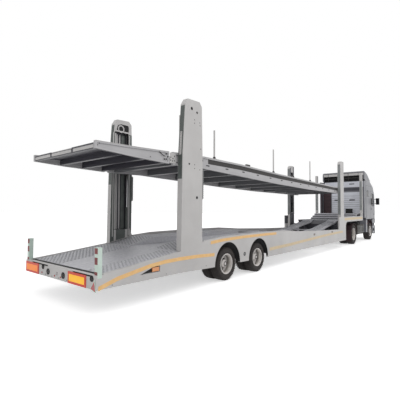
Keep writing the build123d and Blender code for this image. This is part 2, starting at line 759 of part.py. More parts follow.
rod_eye = 38
carriage_inner = post_inner + 30
carriage_outer = half_width - 35
carriage_rear = front_post_back + 40
carriage_front = pivot_station + 85
front_eye_height = pivot_height + 50
carriage = block(carriage_rear, carriage_front, carriage_inner, carriage_outer, pivot_height - 190,
                 pivot_height + 190)
carriage += block(pivot_station - 100, pivot_station + 100, deck_half + 3, carriage_inner, pivot_height - 100,
                  pivot_height + 100)
carriage += across(pivot_radius, pivot_station, pivot_height, rail_inside, deck_half + 3)
carriage += block(carriage_front, front_ram_station + 20, carriage_inner + 10, carriage_outer - 10,
                  front_eye_height - 20, front_eye_height + 40)
front_ram = upright(ram_radius, front_ram_station, ram_side, front_rod_foot, front_eye_height)
keep("front_carriages", *both(carriage + front_ram))

rear_eye_height = deck_height - 310
rear_ram = upright(ram_radius, rear_ram_station, ram_side, rear_rod_foot, rear_eye_height)
rear_ram += across(rod_eye, rear_ram_station, rear_eye_height, ram_side - 22, ram_side + 22)
keep("rear_rams", *both(rear_ram))

# Tractor frame: rails, cross-members, rear lamp bar and the cab tilt pin

tractor_parts = both(block(frame_rear, frame_front - 120, rail_inner, rail_outer, rail_bottom, rail_top))
tractor_parts += both(block(frame_front - 125, frame_front, rail_inner, rail_outer, rail_bottom, tilt_height))
for station in [frame_rear + 60, rear_axle_station - 450, rear_axle_station + 950, cab_rear - 800,
                cab_rear - 250, frame_front - 100]:
    tractor_parts.append(block(station - 50, station + 50, -rail_inner, rail_inner, rail_bottom + 40,
                               rail_top - 60))
tractor_parts.append(block(frame_rear - 40, frame_rear, -800, 800, rail_bottom - 80, rail_bottom + 60))
# rail end: run forward of the straight rail, height
rail_end = [(frame_front - 120, rail_bottom + 60), (tilt_station + 40, tilt_height - 60),
            (tilt_station + 40, tilt_height + 25), (frame_front - 60, tilt_height + 25),
            (frame_front - 120, rail_top)]
tractor_parts += both(slab(rail_end, rail_inner, rail_outer))
tractor_parts.append(across(tilt_pin, tilt_station, tilt_height, -rail_outer - 70, rail_outer + 70))
keep("tractor_frame", join(tractor_parts))

engine_side = 330
engine_rear = cab_rear + 450
engine = block(engine_rear, engine_rear + 1150, -engine_side, engine_side, rail_bottom - 180, rail_top + 180)
engine += block(engine_rear - 600, engine_rear, -200, 200, rail_bottom - 140, rail_top - 50)
for part in both(block(engine_rear + 300, engine_rear + 420, engine_side, rail_inner, rail_top - 160,
                       rail_top - 80)):
    engine += part
keep("engine_block", engine)

# Fifth wheel: a plate with a tapered mouth and a round throat for the kingpin

plate_top = neck_bottom - seat_gap
plate_radius = 470
throat = kingpin_radius + running_fit
fifth = upright(plate_radius, kingpin_station, 0, plate_top - fifth_wheel_thickness, plate_top)
fifth = fifth & block(kingpin_station - plate_radius, kingpin_station + 380, -450, 450, 0, 2 * plate_top)
mouth = Polyline([(kingpin_station - plate_radius - 10, -190, 0), (kingpin_station, -throat, 0),
                  (kingpin_station, throat, 0), (kingpin_station - plate_radius - 10, 190, 0)], close=True)
fifth -= extrude(make_face(mouth), amount=2 * plate_top, dir=(0, 0, 1))
fifth -= upright(throat, kingpin_station, 0, plate_top - 200, plate_top + 200)
for part in both(block(kingpin_station - 200, kingpin_station + 260, rail_inner - 20, rail_outer,
                       rail_top, plate_top - fifth_wheel_thickness)):
    fifth += part
keep("fifth_wheel", fifth)

# Fuel tanks with straps and caps, between the axles

tank_rear = rear_axle_station + 810
tank_front = cab_rear - 400
tank_inner = rail_outer + 195
tank_outer = half_width - 75
tank_low = rail_bottom - 310
tank_top = rail_bottom + 220
tank_bend = 90
tank = block(tank_rear, tank_front, tank_inner, tank_outer, tank_low, tank_top)
tank = fillet(tank.edges().filter_by(Axis.X), tank_bend)
strap_margin = 8
for station in spaced(tank_rear + 230, tank_front - 230, 2):
    tank += fillet(block(station - 30, station + 30, tank_inner - strap_margin, tank_outer + strap_margin,
                         tank_low - strap_margin, tank_top + strap_margin).edges().filter_by(Axis.X),
                   tank_bend + strap_margin)
    tank += block(station - 40, station + 40, rail_outer, tank_inner, rail_bottom + 20, rail_top - 100)
tank += upright(55, tank_front - 420, tank_inner + 320, tank_top - 5, tank_top + 35)
keep("fuel_tanks", *both(tank))

# Mudguards: over the driven wheels with flaps, and over the steered wheels

guard_inner = tractor_tyre_radius + 41
twin_inner_face = wheel_face - 2 * tractor_tyre_width - tractor_twin_gap
guard_rear = rear_axle_station - guard_inner - 65
guard = liner(rear_axle_station, tractor_tyre_radius, guard_inner, 14, twin_inner_face, wheel_face, 20)
guard += block(guard_rear, guard_rear + 92, twin_inner_face, wheel_face, tractor_tyre_radius + 156,
               tractor_tyre_radius + 226)
guard += block(guard_rear + 2, guard_rear + 14, twin_inner_face, wheel_face, 180, tractor_tyre_radius + 161)
guard += block(guard_rear + 20, guard_rear + 60, rail_outer, twin_inner_face + 10, rail_bottom - 50,
               rail_bottom + 30)
guard = guard - block(rear_axle_station - 2000, rear_axle_station + 2000, 0, 2000, neck_bottom - 12, 3000)
front_guard_radius = tractor_tyre_radius + 156
front_guard = liner(front_axle_station, tractor_tyre_radius, front_guard_radius, 12, steer_side, wheel_face,
                    25)
guard_stay = front_axle_station - front_guard_radius + 40
front_guard += block(guard_stay, guard_stay + 60, rail_outer, steer_side + 20, rail_bottom + 40,
                     rail_bottom + 90)
keep("tractor_mudguards", *both(guard), *both(front_guard))

# Axles: driven axle with its casing and air springs; front beam with the steering pins

drive = across(75, rear_axle_station, tractor_tyre_radius, -1060, 1060)
drive += Pos(rear_axle_station, 0, tractor_tyre_radius) * Sphere(210)
drive += across(110, rear_axle_station, tractor_tyre_radius, -330, 330)
for side in (-1, 1):
    for offset in (-260, 260):
        drive += upright(95, rear_axle_station + offset, side * 410, tractor_tyre_radius + 96, rail_bottom)
    y0, y1 = sorted((side * 380, side * 440))
    drive += block(rear_axle_station - 330, rear_axle_station + 330, y0, y1, tractor_tyre_radius + 36,
                   tractor_tyre_radius + 98)
beam_half = steer_side - 45
beam_eye = 42
knuckle_inner = steer_side + beam_eye + 8
fork_low = tractor_tyre_radius - 74
fork_high = tractor_tyre_radius + 74
front_beam = block(front_axle_station - 55, front_axle_station + 55, -beam_half + 60, beam_half - 60,
                   fork_low - 30, fork_low + 70)
for side in (-1, 1):
    y0, y1 = sorted((side * (beam_half - 100), side * steer_side))
    fork = block(front_axle_station - beam_eye, front_axle_station + beam_eye, y0, y1, fork_low, fork_high)
    fork += upright(beam_eye, front_axle_station, side * steer_side, fork_low, fork_high)
    fork += upright(steer_pin, front_axle_station, side * steer_side, fork_low - 30, fork_high + 32)
    front_beam += fork
    y0, y1 = sorted((side * 380, side * 440))
    front_beam += block(front_axle_station - 420, front_axle_station + 420, y0, y1, fork_low + 70,
                        fork_low + 100)
    for offset in (-400, 400):
        front_beam += block(front_axle_station + offset - 30, front_axle_station + offset + 30, y0, y1,
                            fork_low + 90, rail_bottom)
keep("tractor_axles", drive, front_beam)


# Steering knuckles: an eye above and below the beam end, and the stub axle

def knuckle_arm():
    x = front_axle_station
    z = tractor_tyre_radius
    body = block(x - 60, x + 60, knuckle_inner, knuckle_inner + 40, z - 106, z + 108)
    for z0, z1 in [(fork_high + seat_gap, fork_high + 34), (fork_low - 32, fork_low - seat_gap)]:
        body += block(x - 50, x + 50, steer_side - 45, knuckle_inner + 4, z0, z1)
    body += across(45, x, z, knuckle_inner + 24, wheel_face - 65)
    return body - upright(steer_pin + running_fit, x, steer_side, fork_low - 130, fork_high + 130)


stub = knuckle_arm()
keep("knuckle_left", stub)
keep("knuckle_right", other_side(stub))

drive_tyres, drive_rims = twin_wheel(tractor_tyre_radius, tractor_tyre_width, tractor_twin_gap,
                                     tractor_rim_radius, 120, 75)
steer_tyres, steer_rims = single_wheel(tractor_tyre_radius, tractor_tyre_width, tractor_rim_radius, 110, 45)
for side in ("left", "right"):
    place_wheel("tractor_rear_" + side, drive_tyres, drive_rims, rear_axle_station, tractor_tyre_radius,
                side == "left")
    place_wheel("tractor_front_" + side, steer_tyres, steer_rims, front_axle_station, tractor_tyre_radius,
                side == "left")

# Bumper with lamp pockets and corner steps, and rear skirts of the cab, all on the tractor frame

step_rear = front_axle_station + front_guard_radius
bumper_rear = cab_nose - 260
bumper_low = 300
bumper_top = rail_bottom + 55
skirt_top = cab_floor - 30
bumper = block(bumper_rear, cab_nose, -cab_half, cab_half, bumper_low, bumper_top)
bumper = fillet([e for e in bumper.edges().filter_by(Axis.Z) if e.center().X > cab_nose - 40], 90)
bumper -= block(bumper_rear - 80, cab_nose - 50, -cab_half + 95, cab_half - 95, bumper_low - 50,
                bumper_top + 100)
for part in both(block(frame_front, cab_nose - 45, rail_inner, rail_outer, rail_bottom + 2, bumper_top)):
    bumper += part
for part in both(block(cab_nose - 22, cab_nose + 10, 640, 1060, bumper_low + 230, bumper_low + 400)):
    bumper -= part
for z in spaced(bumper_low + 90, bumper_top - 90, 4):
    bumper -= block(cab_nose - 18, cab_nose + 10, -480, 480, z - 18, z + 18)
for side in (-1, 1):
    y0, y1 = sorted((side * 700, side * (cab_half - 15)))
    steps = block(step_rear, bumper_rear + 1, y0, y1, bumper_low + 30, skirt_top)
    for z0, z1 in [(bumper_low + 180, bumper_low + 340), (bumper_low + 500, bumper_low + 660)]:
        ya, yb = sorted((side * 960, side * (cab_half + 5)))
        steps -= block(step_rear + 60, bumper_rear - 40, ya, yb, z0, z1)
    bumper += steps
    y0, y1 = sorted((side * rail_outer, side * 705))
    bumper += block(step_rear + 100, step_rear + 200, y0, y1, rail_bottom + 40, rail_bottom + 140)

skirt = block(cab_rear + 20, front_axle_station - front_guard_radius - 20, 900, cab_half - 10,
              bumper_low + 180, skirt_top)
skirt += block(cab_rear + 80, cab_rear + 160, rail_outer, 905, rail_bottom + 40, rail_bottom + 140)
keep("bumper_and_skirts", bumper, *both(skirt))

# Cab: hollow shell with rounded corners, cut windows and door openings

screen_half = 1060
screen_low = 2020
screen_high = 2790
roof_rear = cab_rear + 200
roof_front = cab_nose - 1290
brow_station = cab_nose - 540
cab_outline = [(cab_rear, cab_floor), (cab_rear, cab_roof - 30), (roof_rear, cab_roof), (roof_front, cab_roof),
               (brow_station, cab_roof - 270), (cab_nose - 310, 2900), (cab_nose - 30, 1950),
               (cab_nose, 1300), (cab_nose - 30, tilt_height + 60), (cab_nose - 120, tilt_height + 60),
               (cab_nose - 120, cab_floor)]
cab_inside = [(cab_rear + cab_skin, cab_floor + cab_skin), (cab_rear + cab_skin, cab_roof - 60),
              (roof_front - 30, cab_roof - 60), (brow_station - 50, cab_roof - 310), (cab_nose - 370, 2880),
              (cab_nose - 95, 1930), (cab_nose - 70, cab_floor + cab_skin)]


def plan_form(front, side, corner):
    # upright block whose front corners are rounded, seen from above
    body = block(cab_rear, front, -side, side, 0, 2 * cab_roof)
    return fillet([e for e in body.edges().filter_by(Axis.Z) if e.center().X > front - 5], corner)


shell = slab(cab_outline, -cab_half, cab_half)
roof_edges = [e for e in shell.edges()
              if abs(abs(e.center().Y) - cab_half) < 1 and e.center().Z > cab_roof - 450]
shell = fillet(roof_edges, 70)
shell = shell & plan_form(cab_nose, cab_half, cab_corner)
room = slab(cab_inside, -cab_half + cab_skin, cab_half - cab_skin)
shell -= room & plan_form(cab_nose - 60, cab_half - cab_skin, cab_corner - 20)
shell -= block(cab_nose - 540, cab_nose + 60, -screen_half, screen_half, screen_low, screen_high)
for part in both(block(door_rear, door_front, cab_half - cab_skin - 5, cab_half + 40, door_bottom, door_top)):
    shell -= part
# radiator grille: slots between slats, with a frame round them
for z in spaced(cab_floor - 40, cab_floor + 420, 7):
    shell -= block(cab_nose - 28, cab_nose + 20, -620, 620, z - 20, z + 20)
# pressed panel of the rear wall: a groove round it and ribs inside
panel_half = 950
panel_low = cab_floor + 620
panel_high = cab_roof - 540
groove = 14
frame_cut = block(cab_rear - 1, cab_rear + groove, -panel_half, panel_half, panel_low, panel_high)
frame_cut -= block(cab_rear - 2, cab_rear + groove + 1, -panel_half + 35, panel_half - 35, panel_low + 35,
                   panel_high - 35)
shell -= frame_cut
for z in spaced(panel_low + 160, panel_high - 160, 4):
    shell -= block(cab_rear - 1, cab_rear + groove, -panel_half + 120, panel_half - 120, z - 28, z + 28)
pin_heights = (1500, 2300)
for side in (-1, 1):
    y0, y1 = sorted((side * (rail_outer + 6), side * (rail_outer + 60)))
    bracket = block(tilt_station - 60, cab_nose - 80, y0, y1, tilt_height - 55, rail_top)
    bracket -= across(tilt_pin + running_fit, tilt_station, tilt_height, -2000, 2000)
    shell += bracket
    for z in pin_heights:
        y0, y1 = sorted((side * cab_half, side * (hinge_side + 6)))
        shell += block(door_front + 2, door_front + 60, y0, y1, z - 60, z - 22)
        y0, y1 = sorted((side * (hinge_side - 10), side * (hinge_side + 6)))
        shell += block(door_front - 10, door_front + 10, y0, y1, z - 60, z - 22)
        shell += upright(door_pin, door_front, side * hinge_side, z - 60, z + 30)
visor_line = [(brow_station + 150, cab_roof - 500), (cab_nose - 205, cab_roof - 610),
              (cab_nose - 170, cab_roof - 640), (cab_nose - 320, cab_roof - 560),
              (cab_nose - 350, cab_roof - 550)]
visor = slab(visor_line, -screen_half + 20, screen_half - 20)
keep("cab_shell", shell + visor)

glass_lean = 236
glass_foot = cab_nose - 106
glass_line = [(glass_foot - glass_lean, screen_high), (glass_foot, screen_low), (glass_foot + 12, screen_low),
              (glass_foot + 12 - glass_lean, screen_high)]
keep("cab_glass", slab(glass_line, -screen_half, screen_half))


# Doors with a window, hung on two pins

window_low = 1980
window_high = door_top - 120


def door():
    panel = block(door_rear + door_gap, door_front - door_gap, cab_half - cab_skin + 5, cab_half,
                  door_bottom + door_gap, door_top - door_gap)
    panel -= block(door_rear + 110, door_front - 90, cab_half - cab_skin, cab_half + 5, window_low,
                   window_high)
    panel -= block(door_rear + 40, door_rear + 240, cab_half - 18, cab_half + 5, window_low - 220,
                   window_low - 110)
    panel += block(door_rear + 55, door_rear + 225, cab_half - 20, cab_half + 12, window_low - 180,
                   window_low - 150)
    for z in pin_heights:
        lug = block(door_front - 60, door_front, cab_half, hinge_side + door_eye, z - 22 + seat_gap, z + 22)
        lug += upright(door_eye, door_front, hinge_side, z - 22 + seat_gap, z + 22)
        lug -= upright(door_pin + running_fit, door_front, hinge_side, z - 60, z + 60)
        panel += lug
    return panel


door_panel = door()
door_glass = block(door_rear + 110, door_front - 90, cab_half - 35, cab_half - 29, window_low,
                   window_high)
keep("door_left", door_panel)
keep("door_right", other_side(door_panel))
keep("door_glass_left", door_glass)
keep("door_glass_right", other_side(door_glass))

# Roof spoiler: a curved fairing, open at the back, with side extenders below it

spoiler_half = cab_half - 65
crown = [(cab_rear + 60, spoiler_top), (cab_rear + 400, spoiler_top - 50),
         (roof_front - 350, spoiler_top - 130), (roof_front - 50, spoiler_top - 270),
         (roof_front + 450, cab_roof + 30)]
spoiler_back = [(cab_rear + 10, cab_roof + 70), (cab_rear + 10, spoiler_top - 150)]
spoiler_foot = [(roof_front, cab_roof + seat_gap), (roof_rear, cab_roof + seat_gap)]
spoiler = slab(spoiler_back + crown + spoiler_foot, -spoiler_half, spoiler_half)
upper_edges = [e for e in spoiler.edges() if abs(abs(e.center().Y) - spoiler_half) < 1
               and e.center().Z > spoiler_top - 240 and e.center().X > cab_rear + 40]
spoiler = fillet(upper_edges, 60)
hollow = [(cab_rear - 10, cab_roof - 50), (cab_rear - 10, spoiler_top - 90)]
hollow.append((cab_rear + 60, spoiler_top - 60))
hollow += [(x - 12, z - 50) for x, z in crown[1:-1]]
hollow += [(roof_front + 300, cab_roof + 50), (roof_front, cab_roof - 50)]
spoiler -= slab(hollow, -spoiler_half + 60, spoiler_half - 60)
extender_reach = 330
extender = block(cab_rear - extender_reach, cab_rear, cab_half - 40, cab_half - 5, cab_floor + 80,
                 cab_roof - 50)
extender += block(cab_rear - extender_reach, cab_rear - extender_reach + 60, cab_half - 60, cab_half - 38,
                  cab_floor + 120, cab_roof - 90)
keep("cab_fairings", spoiler, *both(extender))

# Mirrors on arms, and the cab's inside

mirror_rear = cab_nose - 240
mirror_body = fillet(block(mirror_rear, mirror_rear + 100, cab_half + 85, cab_half + 275, mirror_low,
                           mirror_high).edges().filter_by(Axis.Z), 30)
for z in (mirror_low + 50, mirror_high - 80):
    mirror_body += block(mirror_rear + 30, mirror_rear + 60, cab_half, cab_half + 95, z, z + 30)
keep("mirrors", *both(mirror_body))

inside_floor = cab_floor + cab_skin
seat_rear = door_rear - 90
seat = block(seat_rear, seat_rear + 500, 420, 920, inside_floor, inside_floor + 475)
seat += block(seat_rear - 100, seat_rear + 50, 420, 920, inside_floor + 425, inside_floor + 1175)
dash = block(cab_nose - 490, cab_nose - 160, -1090, 1090, inside_floor + 250, inside_floor + 605)
dash += block(cab_nose - 440, cab_nose - 240, -300, 300, inside_floor, inside_floor + 260)
bunk = block(cab_rear + cab_skin, cab_rear + 700, -cab_half + 95, cab_half - 95, inside_floor,
             inside_floor + 475)
keep("cab_interior", *both(seat), dash, bunk)

# Box on the back of the cab for the trailer's lines
keep("rear_box", block(cab_rear - 250, cab_rear - 30, -420, 60, rail_top, rail_top + 420))

os.makedirs("parts", exist_ok=True)
for name, shape in nodes.items():
    export_step(Pos(-overall_length / 2, 0, 0) * shape, f"parts/{name}.step")
print(len(nodes), "nodes")
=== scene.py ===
import bpy
import bmesh
import math
from mathutils import Matrix, Vector


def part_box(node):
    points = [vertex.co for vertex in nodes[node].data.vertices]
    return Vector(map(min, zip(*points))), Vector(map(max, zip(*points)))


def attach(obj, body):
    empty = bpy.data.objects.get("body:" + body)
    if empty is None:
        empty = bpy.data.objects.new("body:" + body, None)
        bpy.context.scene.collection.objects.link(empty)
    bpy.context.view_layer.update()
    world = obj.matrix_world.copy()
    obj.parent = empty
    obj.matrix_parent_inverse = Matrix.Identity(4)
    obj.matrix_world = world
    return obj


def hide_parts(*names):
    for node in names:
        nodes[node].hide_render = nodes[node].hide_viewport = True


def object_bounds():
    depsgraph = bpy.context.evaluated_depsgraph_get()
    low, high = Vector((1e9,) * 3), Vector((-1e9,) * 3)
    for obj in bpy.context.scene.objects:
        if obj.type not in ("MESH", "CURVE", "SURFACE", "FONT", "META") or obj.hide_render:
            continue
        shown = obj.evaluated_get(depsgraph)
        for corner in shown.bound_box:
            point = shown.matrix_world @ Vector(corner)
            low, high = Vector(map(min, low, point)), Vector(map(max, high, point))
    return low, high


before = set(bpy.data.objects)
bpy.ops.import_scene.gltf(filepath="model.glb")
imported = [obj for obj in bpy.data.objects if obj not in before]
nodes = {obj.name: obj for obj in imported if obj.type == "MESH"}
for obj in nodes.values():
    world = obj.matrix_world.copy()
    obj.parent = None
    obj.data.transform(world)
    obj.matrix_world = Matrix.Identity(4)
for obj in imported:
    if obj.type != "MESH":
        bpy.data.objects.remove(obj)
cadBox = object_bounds()
tailX = cadBox[0][0]
print("frame loaded:", len(nodes), "nodes")


def station(metres):
    # a place along the vehicle, measured forward from the tail
    return tailX + metres


def framePoint(x, y, z):
    return Vector((station(x), y, z))


def newObject(name, data):
    made = bpy.data.objects.new(name, data)
    bpy.context.scene.collection.objects.link(made)
    return made


sides = (("left", 1), ("right", -1))

# Camera, as fitted to the photograph: place, heading, slope and roll
view = {"place": (-2.762, -5.649, 1.654), "heading": 0.69531, "slope": 0.0337, "roll": 0.00463,
        "focal": 319.56, "picture": 400, "sensor": 36.0, "reach": 200}


def makeCamera():
    heading, slope, roll = view["heading"], view["slope"], view["roll"]
    level = math.cos(slope)
    ahead = Vector((math.cos(heading) * level, math.sin(heading) * level, math.sin(slope)))
    side = Vector((math.sin(heading), -math.cos(heading), 0))
    top = side.cross(ahead)
    right = math.cos(roll) * side + math.sin(roll) * top
    up = math.cos(roll) * top - math.sin(roll) * side
    data = bpy.data.cameras.new("camera")
    data.sensor_width = view["sensor"]
    data.lens = view["focal"] / view["picture"] * view["sensor"]
    data.clip_end = view["reach"]
    camera = newObject("camera", data)
    turn = Matrix((right, up, -ahead)).transposed().to_4x4()
    camera.matrix_world = Matrix.Translation(framePoint(*view["place"])) @ turn
    bpy.context.scene.camera = camera


makeCamera()


# Materials

def linear(hexCode):
    # sRGB hex to linear
    parts = [int(hexCode[i:i + 2], 16) / 255 for i in (1, 3, 5)]
    return [c / 12.92 if c <= 0.04045 else ((c + 0.055) / 1.055) ** 2.4 for c in parts] + [1.0]


def put(tree, kind, inputs=None, **settings):
    # one node with its settings, its values and its links
    node = tree.nodes.new(kind)
    for key, value in settings.items():
        setattr(node, key, value)
    for name, value in (inputs or {}).items():
        if isinstance(value, bpy.types.NodeSocket):
            tree.links.new(value, node.inputs[name])
        else:
            node.inputs[name].default_value = value
    return node


def calculate(tree, operation, first, second=0.0):
    return put(tree, "ShaderNodeMath", {0: first, 1: second}, operation=operation).outputs[0]


def newMaterial(name):
    material = bpy.data.materials.new(name)
    material.use_nodes = True
    tree = material.node_tree
    tree.nodes.clear()
    shader = put(tree, "ShaderNodeBsdfPrincipled")
    put(tree, "ShaderNodeOutputMaterial", {"Surface": shader.outputs[0]})
    return material, shader


# How the two tones of a finish share its patches, how far its roughness wanders, and which faces look down
# and take painted shade
tones = {"detail": 4.0, "grit": 0.6, "low": 0.35, "high": 0.7, "wander": 0.06, "level": -0.35, "down": -0.75,
         "up": 0.6}


def finish(name, base, other, patchMm, roughness, grainMm=None, reliefMm=0.0, metallic=0.0, coat=0.0,
           downShade=None, inner=None, glow=0.0):
    # a surface whose colour wanders between two tones in patches, with a fine relief of its own;
    # downShade is painted shade: the tone of faces that look down, and of those that lie nearer to the
    # middle than inner and don't look up; glow is emission, painted light standing in for what reflective
    # film sends back
    material, shader = newMaterial(name)
    tree = material.node_tree
    place = put(tree, "ShaderNodeTexCoord").outputs["Object"]
    noise = {"Vector": place, "Scale": 1000 / patchMm, "Detail": tones["detail"], "Roughness": tones["grit"]}
    patches = put(tree, "ShaderNodeTexNoise", noise).outputs["Fac"]
    span = {"Value": patches, "From Min": tones["low"], "From Max": tones["high"]}
    share = put(tree, "ShaderNodeMapRange", span).outputs[0]
    mix = put(tree, "ShaderNodeMix", {0: share, 6: linear(base), 7: linear(other)}, data_type="RGBA")
    colour = mix.outputs[2]
    if downShade:
        normal = put(tree, "ShaderNodeNewGeometry").outputs["Normal"]
        facing = put(tree, "ShaderNodeSeparateXYZ", {0: normal}).outputs["Z"]
        shadeShare = put(tree, "ShaderNodeMapRange", {"Value": facing, "From Min": tones["level"],
                                                "From Max": tones["down"]}).outputs[0]
        if inner:
            across = put(tree, "ShaderNodeSeparateXYZ", {0: place}).outputs["Y"]
            within = calculate(tree, "LESS_THAN", calculate(tree, "ABSOLUTE", across), inner)
            level = calculate(tree, "LESS_THAN", facing, tones["up"])
            shadeShare = calculate(tree, "MAXIMUM", shadeShare, calculate(tree, "MULTIPLY", within, level))
        shadedTone = put(tree, "ShaderNodeMix", {0: shadeShare, 6: colour, 7: linear(downShade)}, data_type="RGBA")
        colour = shadedTone.outputs[2]
    tree.links.new(colour, shader.inputs["Base Color"])
    if glow:
        tree.links.new(colour, shader.inputs["Emission Color"])
        shader.inputs["Emission Strength"].default_value = glow
    rough = put(tree, "ShaderNodeMapRange", {"Value": patches, "To Min": roughness - tones["wander"],
                                             "To Max": roughness + tones["wander"]})
    tree.links.new(rough.outputs[0], shader.inputs["Roughness"])
    shader.inputs["Metallic"].default_value = metallic
    if coat:
        shader.inputs["Coat Weight"].default_value = coat
        shader.inputs["Coat Roughness"].default_value = 0.12
    if grainMm:
        fine = put(tree, "ShaderNodeTexNoise", {"Vector": place, "Scale": 1000 / grainMm, "Detail": 2.0})
        bump = put(tree, "ShaderNodeBump", {"Height": fine.outputs["Fac"], "Strength": 0.5,
                                            "Distance": reliefMm / 1000})
        tree.links.new(bump.outputs[0], shader.inputs["Normal"])
    return material


materials = {
    # sprayed silver-grey enamel on folded steel: soft sheen, faint dust
    "trailerPaint": finish("silver-enamel", "#C3C1C0", "#B8B6B5", 900, 0.42, 25, 0.3),
    # the same enamel on the inner channel faces, darker with grease and dust and with painted shade
    "channelPaint": finish("dusty-enamel-and-painted-shade", "#8F9292", "#747878", 260, 0.55, 18, 0.4),
    # grease and road film on the open side of the lift posts, darkened further as painted shade
    "greasyPaint": finish("greasy-enamel-and-painted-shade", "#5C625F", "#4A504E", 320, 0.5, 18, 0.4),
    # hot-dip galvanised sheet: pale, cool, with spangle
    "deckSteel": finish("galvanised-sheet", "#CACACE", "#B6B6BC", 60, 0.5, 12, 0.3, metallic=0.1),
    # flap and upper deck: the same enamel, with painted shade where it looks down at the road and on its
    # inner faces
    "deckEnamel": finish("deck-enamel", "#B6B5B7", "#ABAAAC", 700, 0.45, 20, 0.3, downShade="#33323B",
                         inner=1.07),
    # the same on the frame between the rails, where the painted shade is paler
    "deckFrame": finish("deck-frame-enamel", "#B6B5B7", "#ABAAAC", 700, 0.45, 20, 0.3, downShade="#626366",
                        inner=1.07),
    # tracks of the upper deck: the same spangle, with painted shade below
    "deckSheet": finish("deck-sheet", "#B4B3B8", "#A3A2A8", 60, 0.5, 12, 0.3, metallic=0.15,
                        downShade="#5A5962"),
    # road film on the tanks, brown against the grey frame
    "tankPaint": finish("dusty-tank", "#3A3632", "#2C2926", 200, 0.6, 15, 0.4),
    # chassis paint toned as painted shade under the decks; also laid on posts, recesses and gaps as painted
    # shade
    "chassisPaint": finish("chassis-enamel-and-painted-shade", "#45454C", "#38383F", 300, 0.55, 15, 0.4),
    "blackPlastic": finish("moulded-polypropylene", "#17171A", "#222226", 120, 0.6, 3, 0.2),
    "rubber": finish("tyre-rubber", "#262221", "#332E2C", 90, 0.8, 4, 0.3),
    "wheelPaint": finish("silver-wheel-lacquer", "#DEDAD7", "#CBC6C3", 140, 0.4, 8, 0.2),
    "castIron": finish("painted-cast-iron", "#28282A", "#3A3633", 70, 0.65, 5, 0.6),
    # silver-grey lacquer, toned down as painted shade for the cab standing in shade
    "cabPaint": finish("silver-grey-lacquer", "#77787E", "#6E6F76", 1200, 0.4, coat=0.2),
    # the same lacquer on the pressed panel of the rear wall, paler as painted light against its shade
    "cabPanel": finish("lacquer-painted-light", "#D8DAE2", "#C9CBD4", 500, 0.45),
    # painted shade on the inside of the rims
    "wellShade": finish("wheel-well-painted-shade", "#D2CDC8", "#B4AEA8", 60, 0.5, 6, 0.3),
    "rodChrome": finish("hard-chrome", "#C4C4C6", "#ACACB0", 200, 0.16, metallic=1.0),
    "flapRubber": finish("mudflap-rubber", "#2B1A1E", "#371F24", 150, 0.75, 10, 0.4),
    "seatCloth": finish("woven-seat-cloth", "#3C3D42", "#2D2E33", 8, 0.9, 3, 0.6),
    "tapeYellow": finish("retroreflective-yellow", "#EDC184", "#E3B678", 90, 0.45, 9, 0.2),
    # the orange, amber and red films glow: painted light for the light they send back
    "plateOrange": finish("retroreflective-orange", "#FF8C22", "#FA841C", 160, 0.4, 7, 0.2, glow=0.14),
    "plateYellow": finish("retroreflective-amber", "#FFC010", "#FDB80E", 160, 0.4, 7, 0.2, glow=0.2),
    "tapeFaded": finish("faded-reflective-tape", "#D6C2A0", "#CCB896", 90, 0.5, 9, 0.2),
    # inner faces of the fairings: painted shade
    "extenderShade": finish("fairing-painted-shade", "#3A262B", "#2E1F24", 200, 0.7, 10, 0.3),
    "plateRed": finish("fluorescent-red-border", "#D03A1C", "#BC3019", 120, 0.42, 7, 0.2, glow=0.1),
    "postWhite": finish("white-reflective-film", "#CFE0D6", "#C0D2C8", 140, 0.45, 7, 0.2),
    "postRed": finish("red-reflective-film", "#7E2A2C", "#6A2224", 90, 0.45, 7, 0.2),
    "amberLens": finish("amber-lens", "#D98A4E", "#E29B62", 50, 0.2, coat=0.6),
    # lamps low on the walls, unlit under road dust
    "dustyLens": finish("dusty-lens", "#85776B", "#6F6258", 40, 0.4, coat=0.3),
    "redLens": finish("red-lens", "#B3202B", "#9A1A24", 50, 0.2, coat=0.6),
    # black of holes, slots, gaps and recesses, where it is painted shade, and of black seams, seals, wipers
    # and lamp housings
    "voidBlack": finish("black-recess", "#0E0E10", "#151517", 90, 0.8),
}


def tintedGlass():
    # laminated safety glass: dark from outside, sharp reflections
    material, shader = newMaterial("tinted-glass")
    shader.inputs["Base Color"].default_value = linear("#11161A")
    shader.inputs["Roughness"].default_value = 0.04
    shader.inputs["IOR"].default_value = 1.5
    shader.inputs["Alpha"].default_value = 0.82
    return material


materials["glass"] = tintedGlass()

nodeFinish = {
    "trailerPaint": "side_wall_left side_wall_right tail_beam rear_posts front_posts stanchions",
    "greasyPaint": "lift_barrels",
    "chassisPaint": "main_frame cross_members gooseneck_frame landing_legs tractor_frame",
    "plateRed": "marker_plates",
    "postWhite": "marker_posts",
    "deckSteel": "rear_platform wheel_deck wheel_tracks gooseneck_deck",
    "castIron": "trailer_axles engine_block fifth_wheel tractor_axles knuckle_left knuckle_right",
    "blackPlastic": "trailer_mudguards rear_box mirrors",
    "amberLens": "side_lamps",
    "channelPaint": "front_carriages",
    "rodChrome": "rear_rams",
    "deckFrame": "deck_frame",
    "deckSheet": "deck_tracks",
    "deckEnamel": "deck_flap",
    "tankPaint": "fuel_tanks",
    "flapRubber": "tractor_mudguards",
    "cabPaint": "bumper_and_skirts cab_shell cab_fairings door_left door_right",
    "glass": "cab_glass door_glass_left door_glass_right",
    "seatCloth": "cab_interior",
}
finishOf = {name: key for key, names in nodeFinish.items() for name in names.split()}
for name, node in nodes.items():
    if name.startswith("tyres_"):
        key = "rubber"
    elif name.startswith("rims_"):
        key = "wheelPaint"
    else:
        key = finishOf[name]
    node.data.materials.clear()
    node.data.materials.append(materials[key])
print("materials on the nodes")


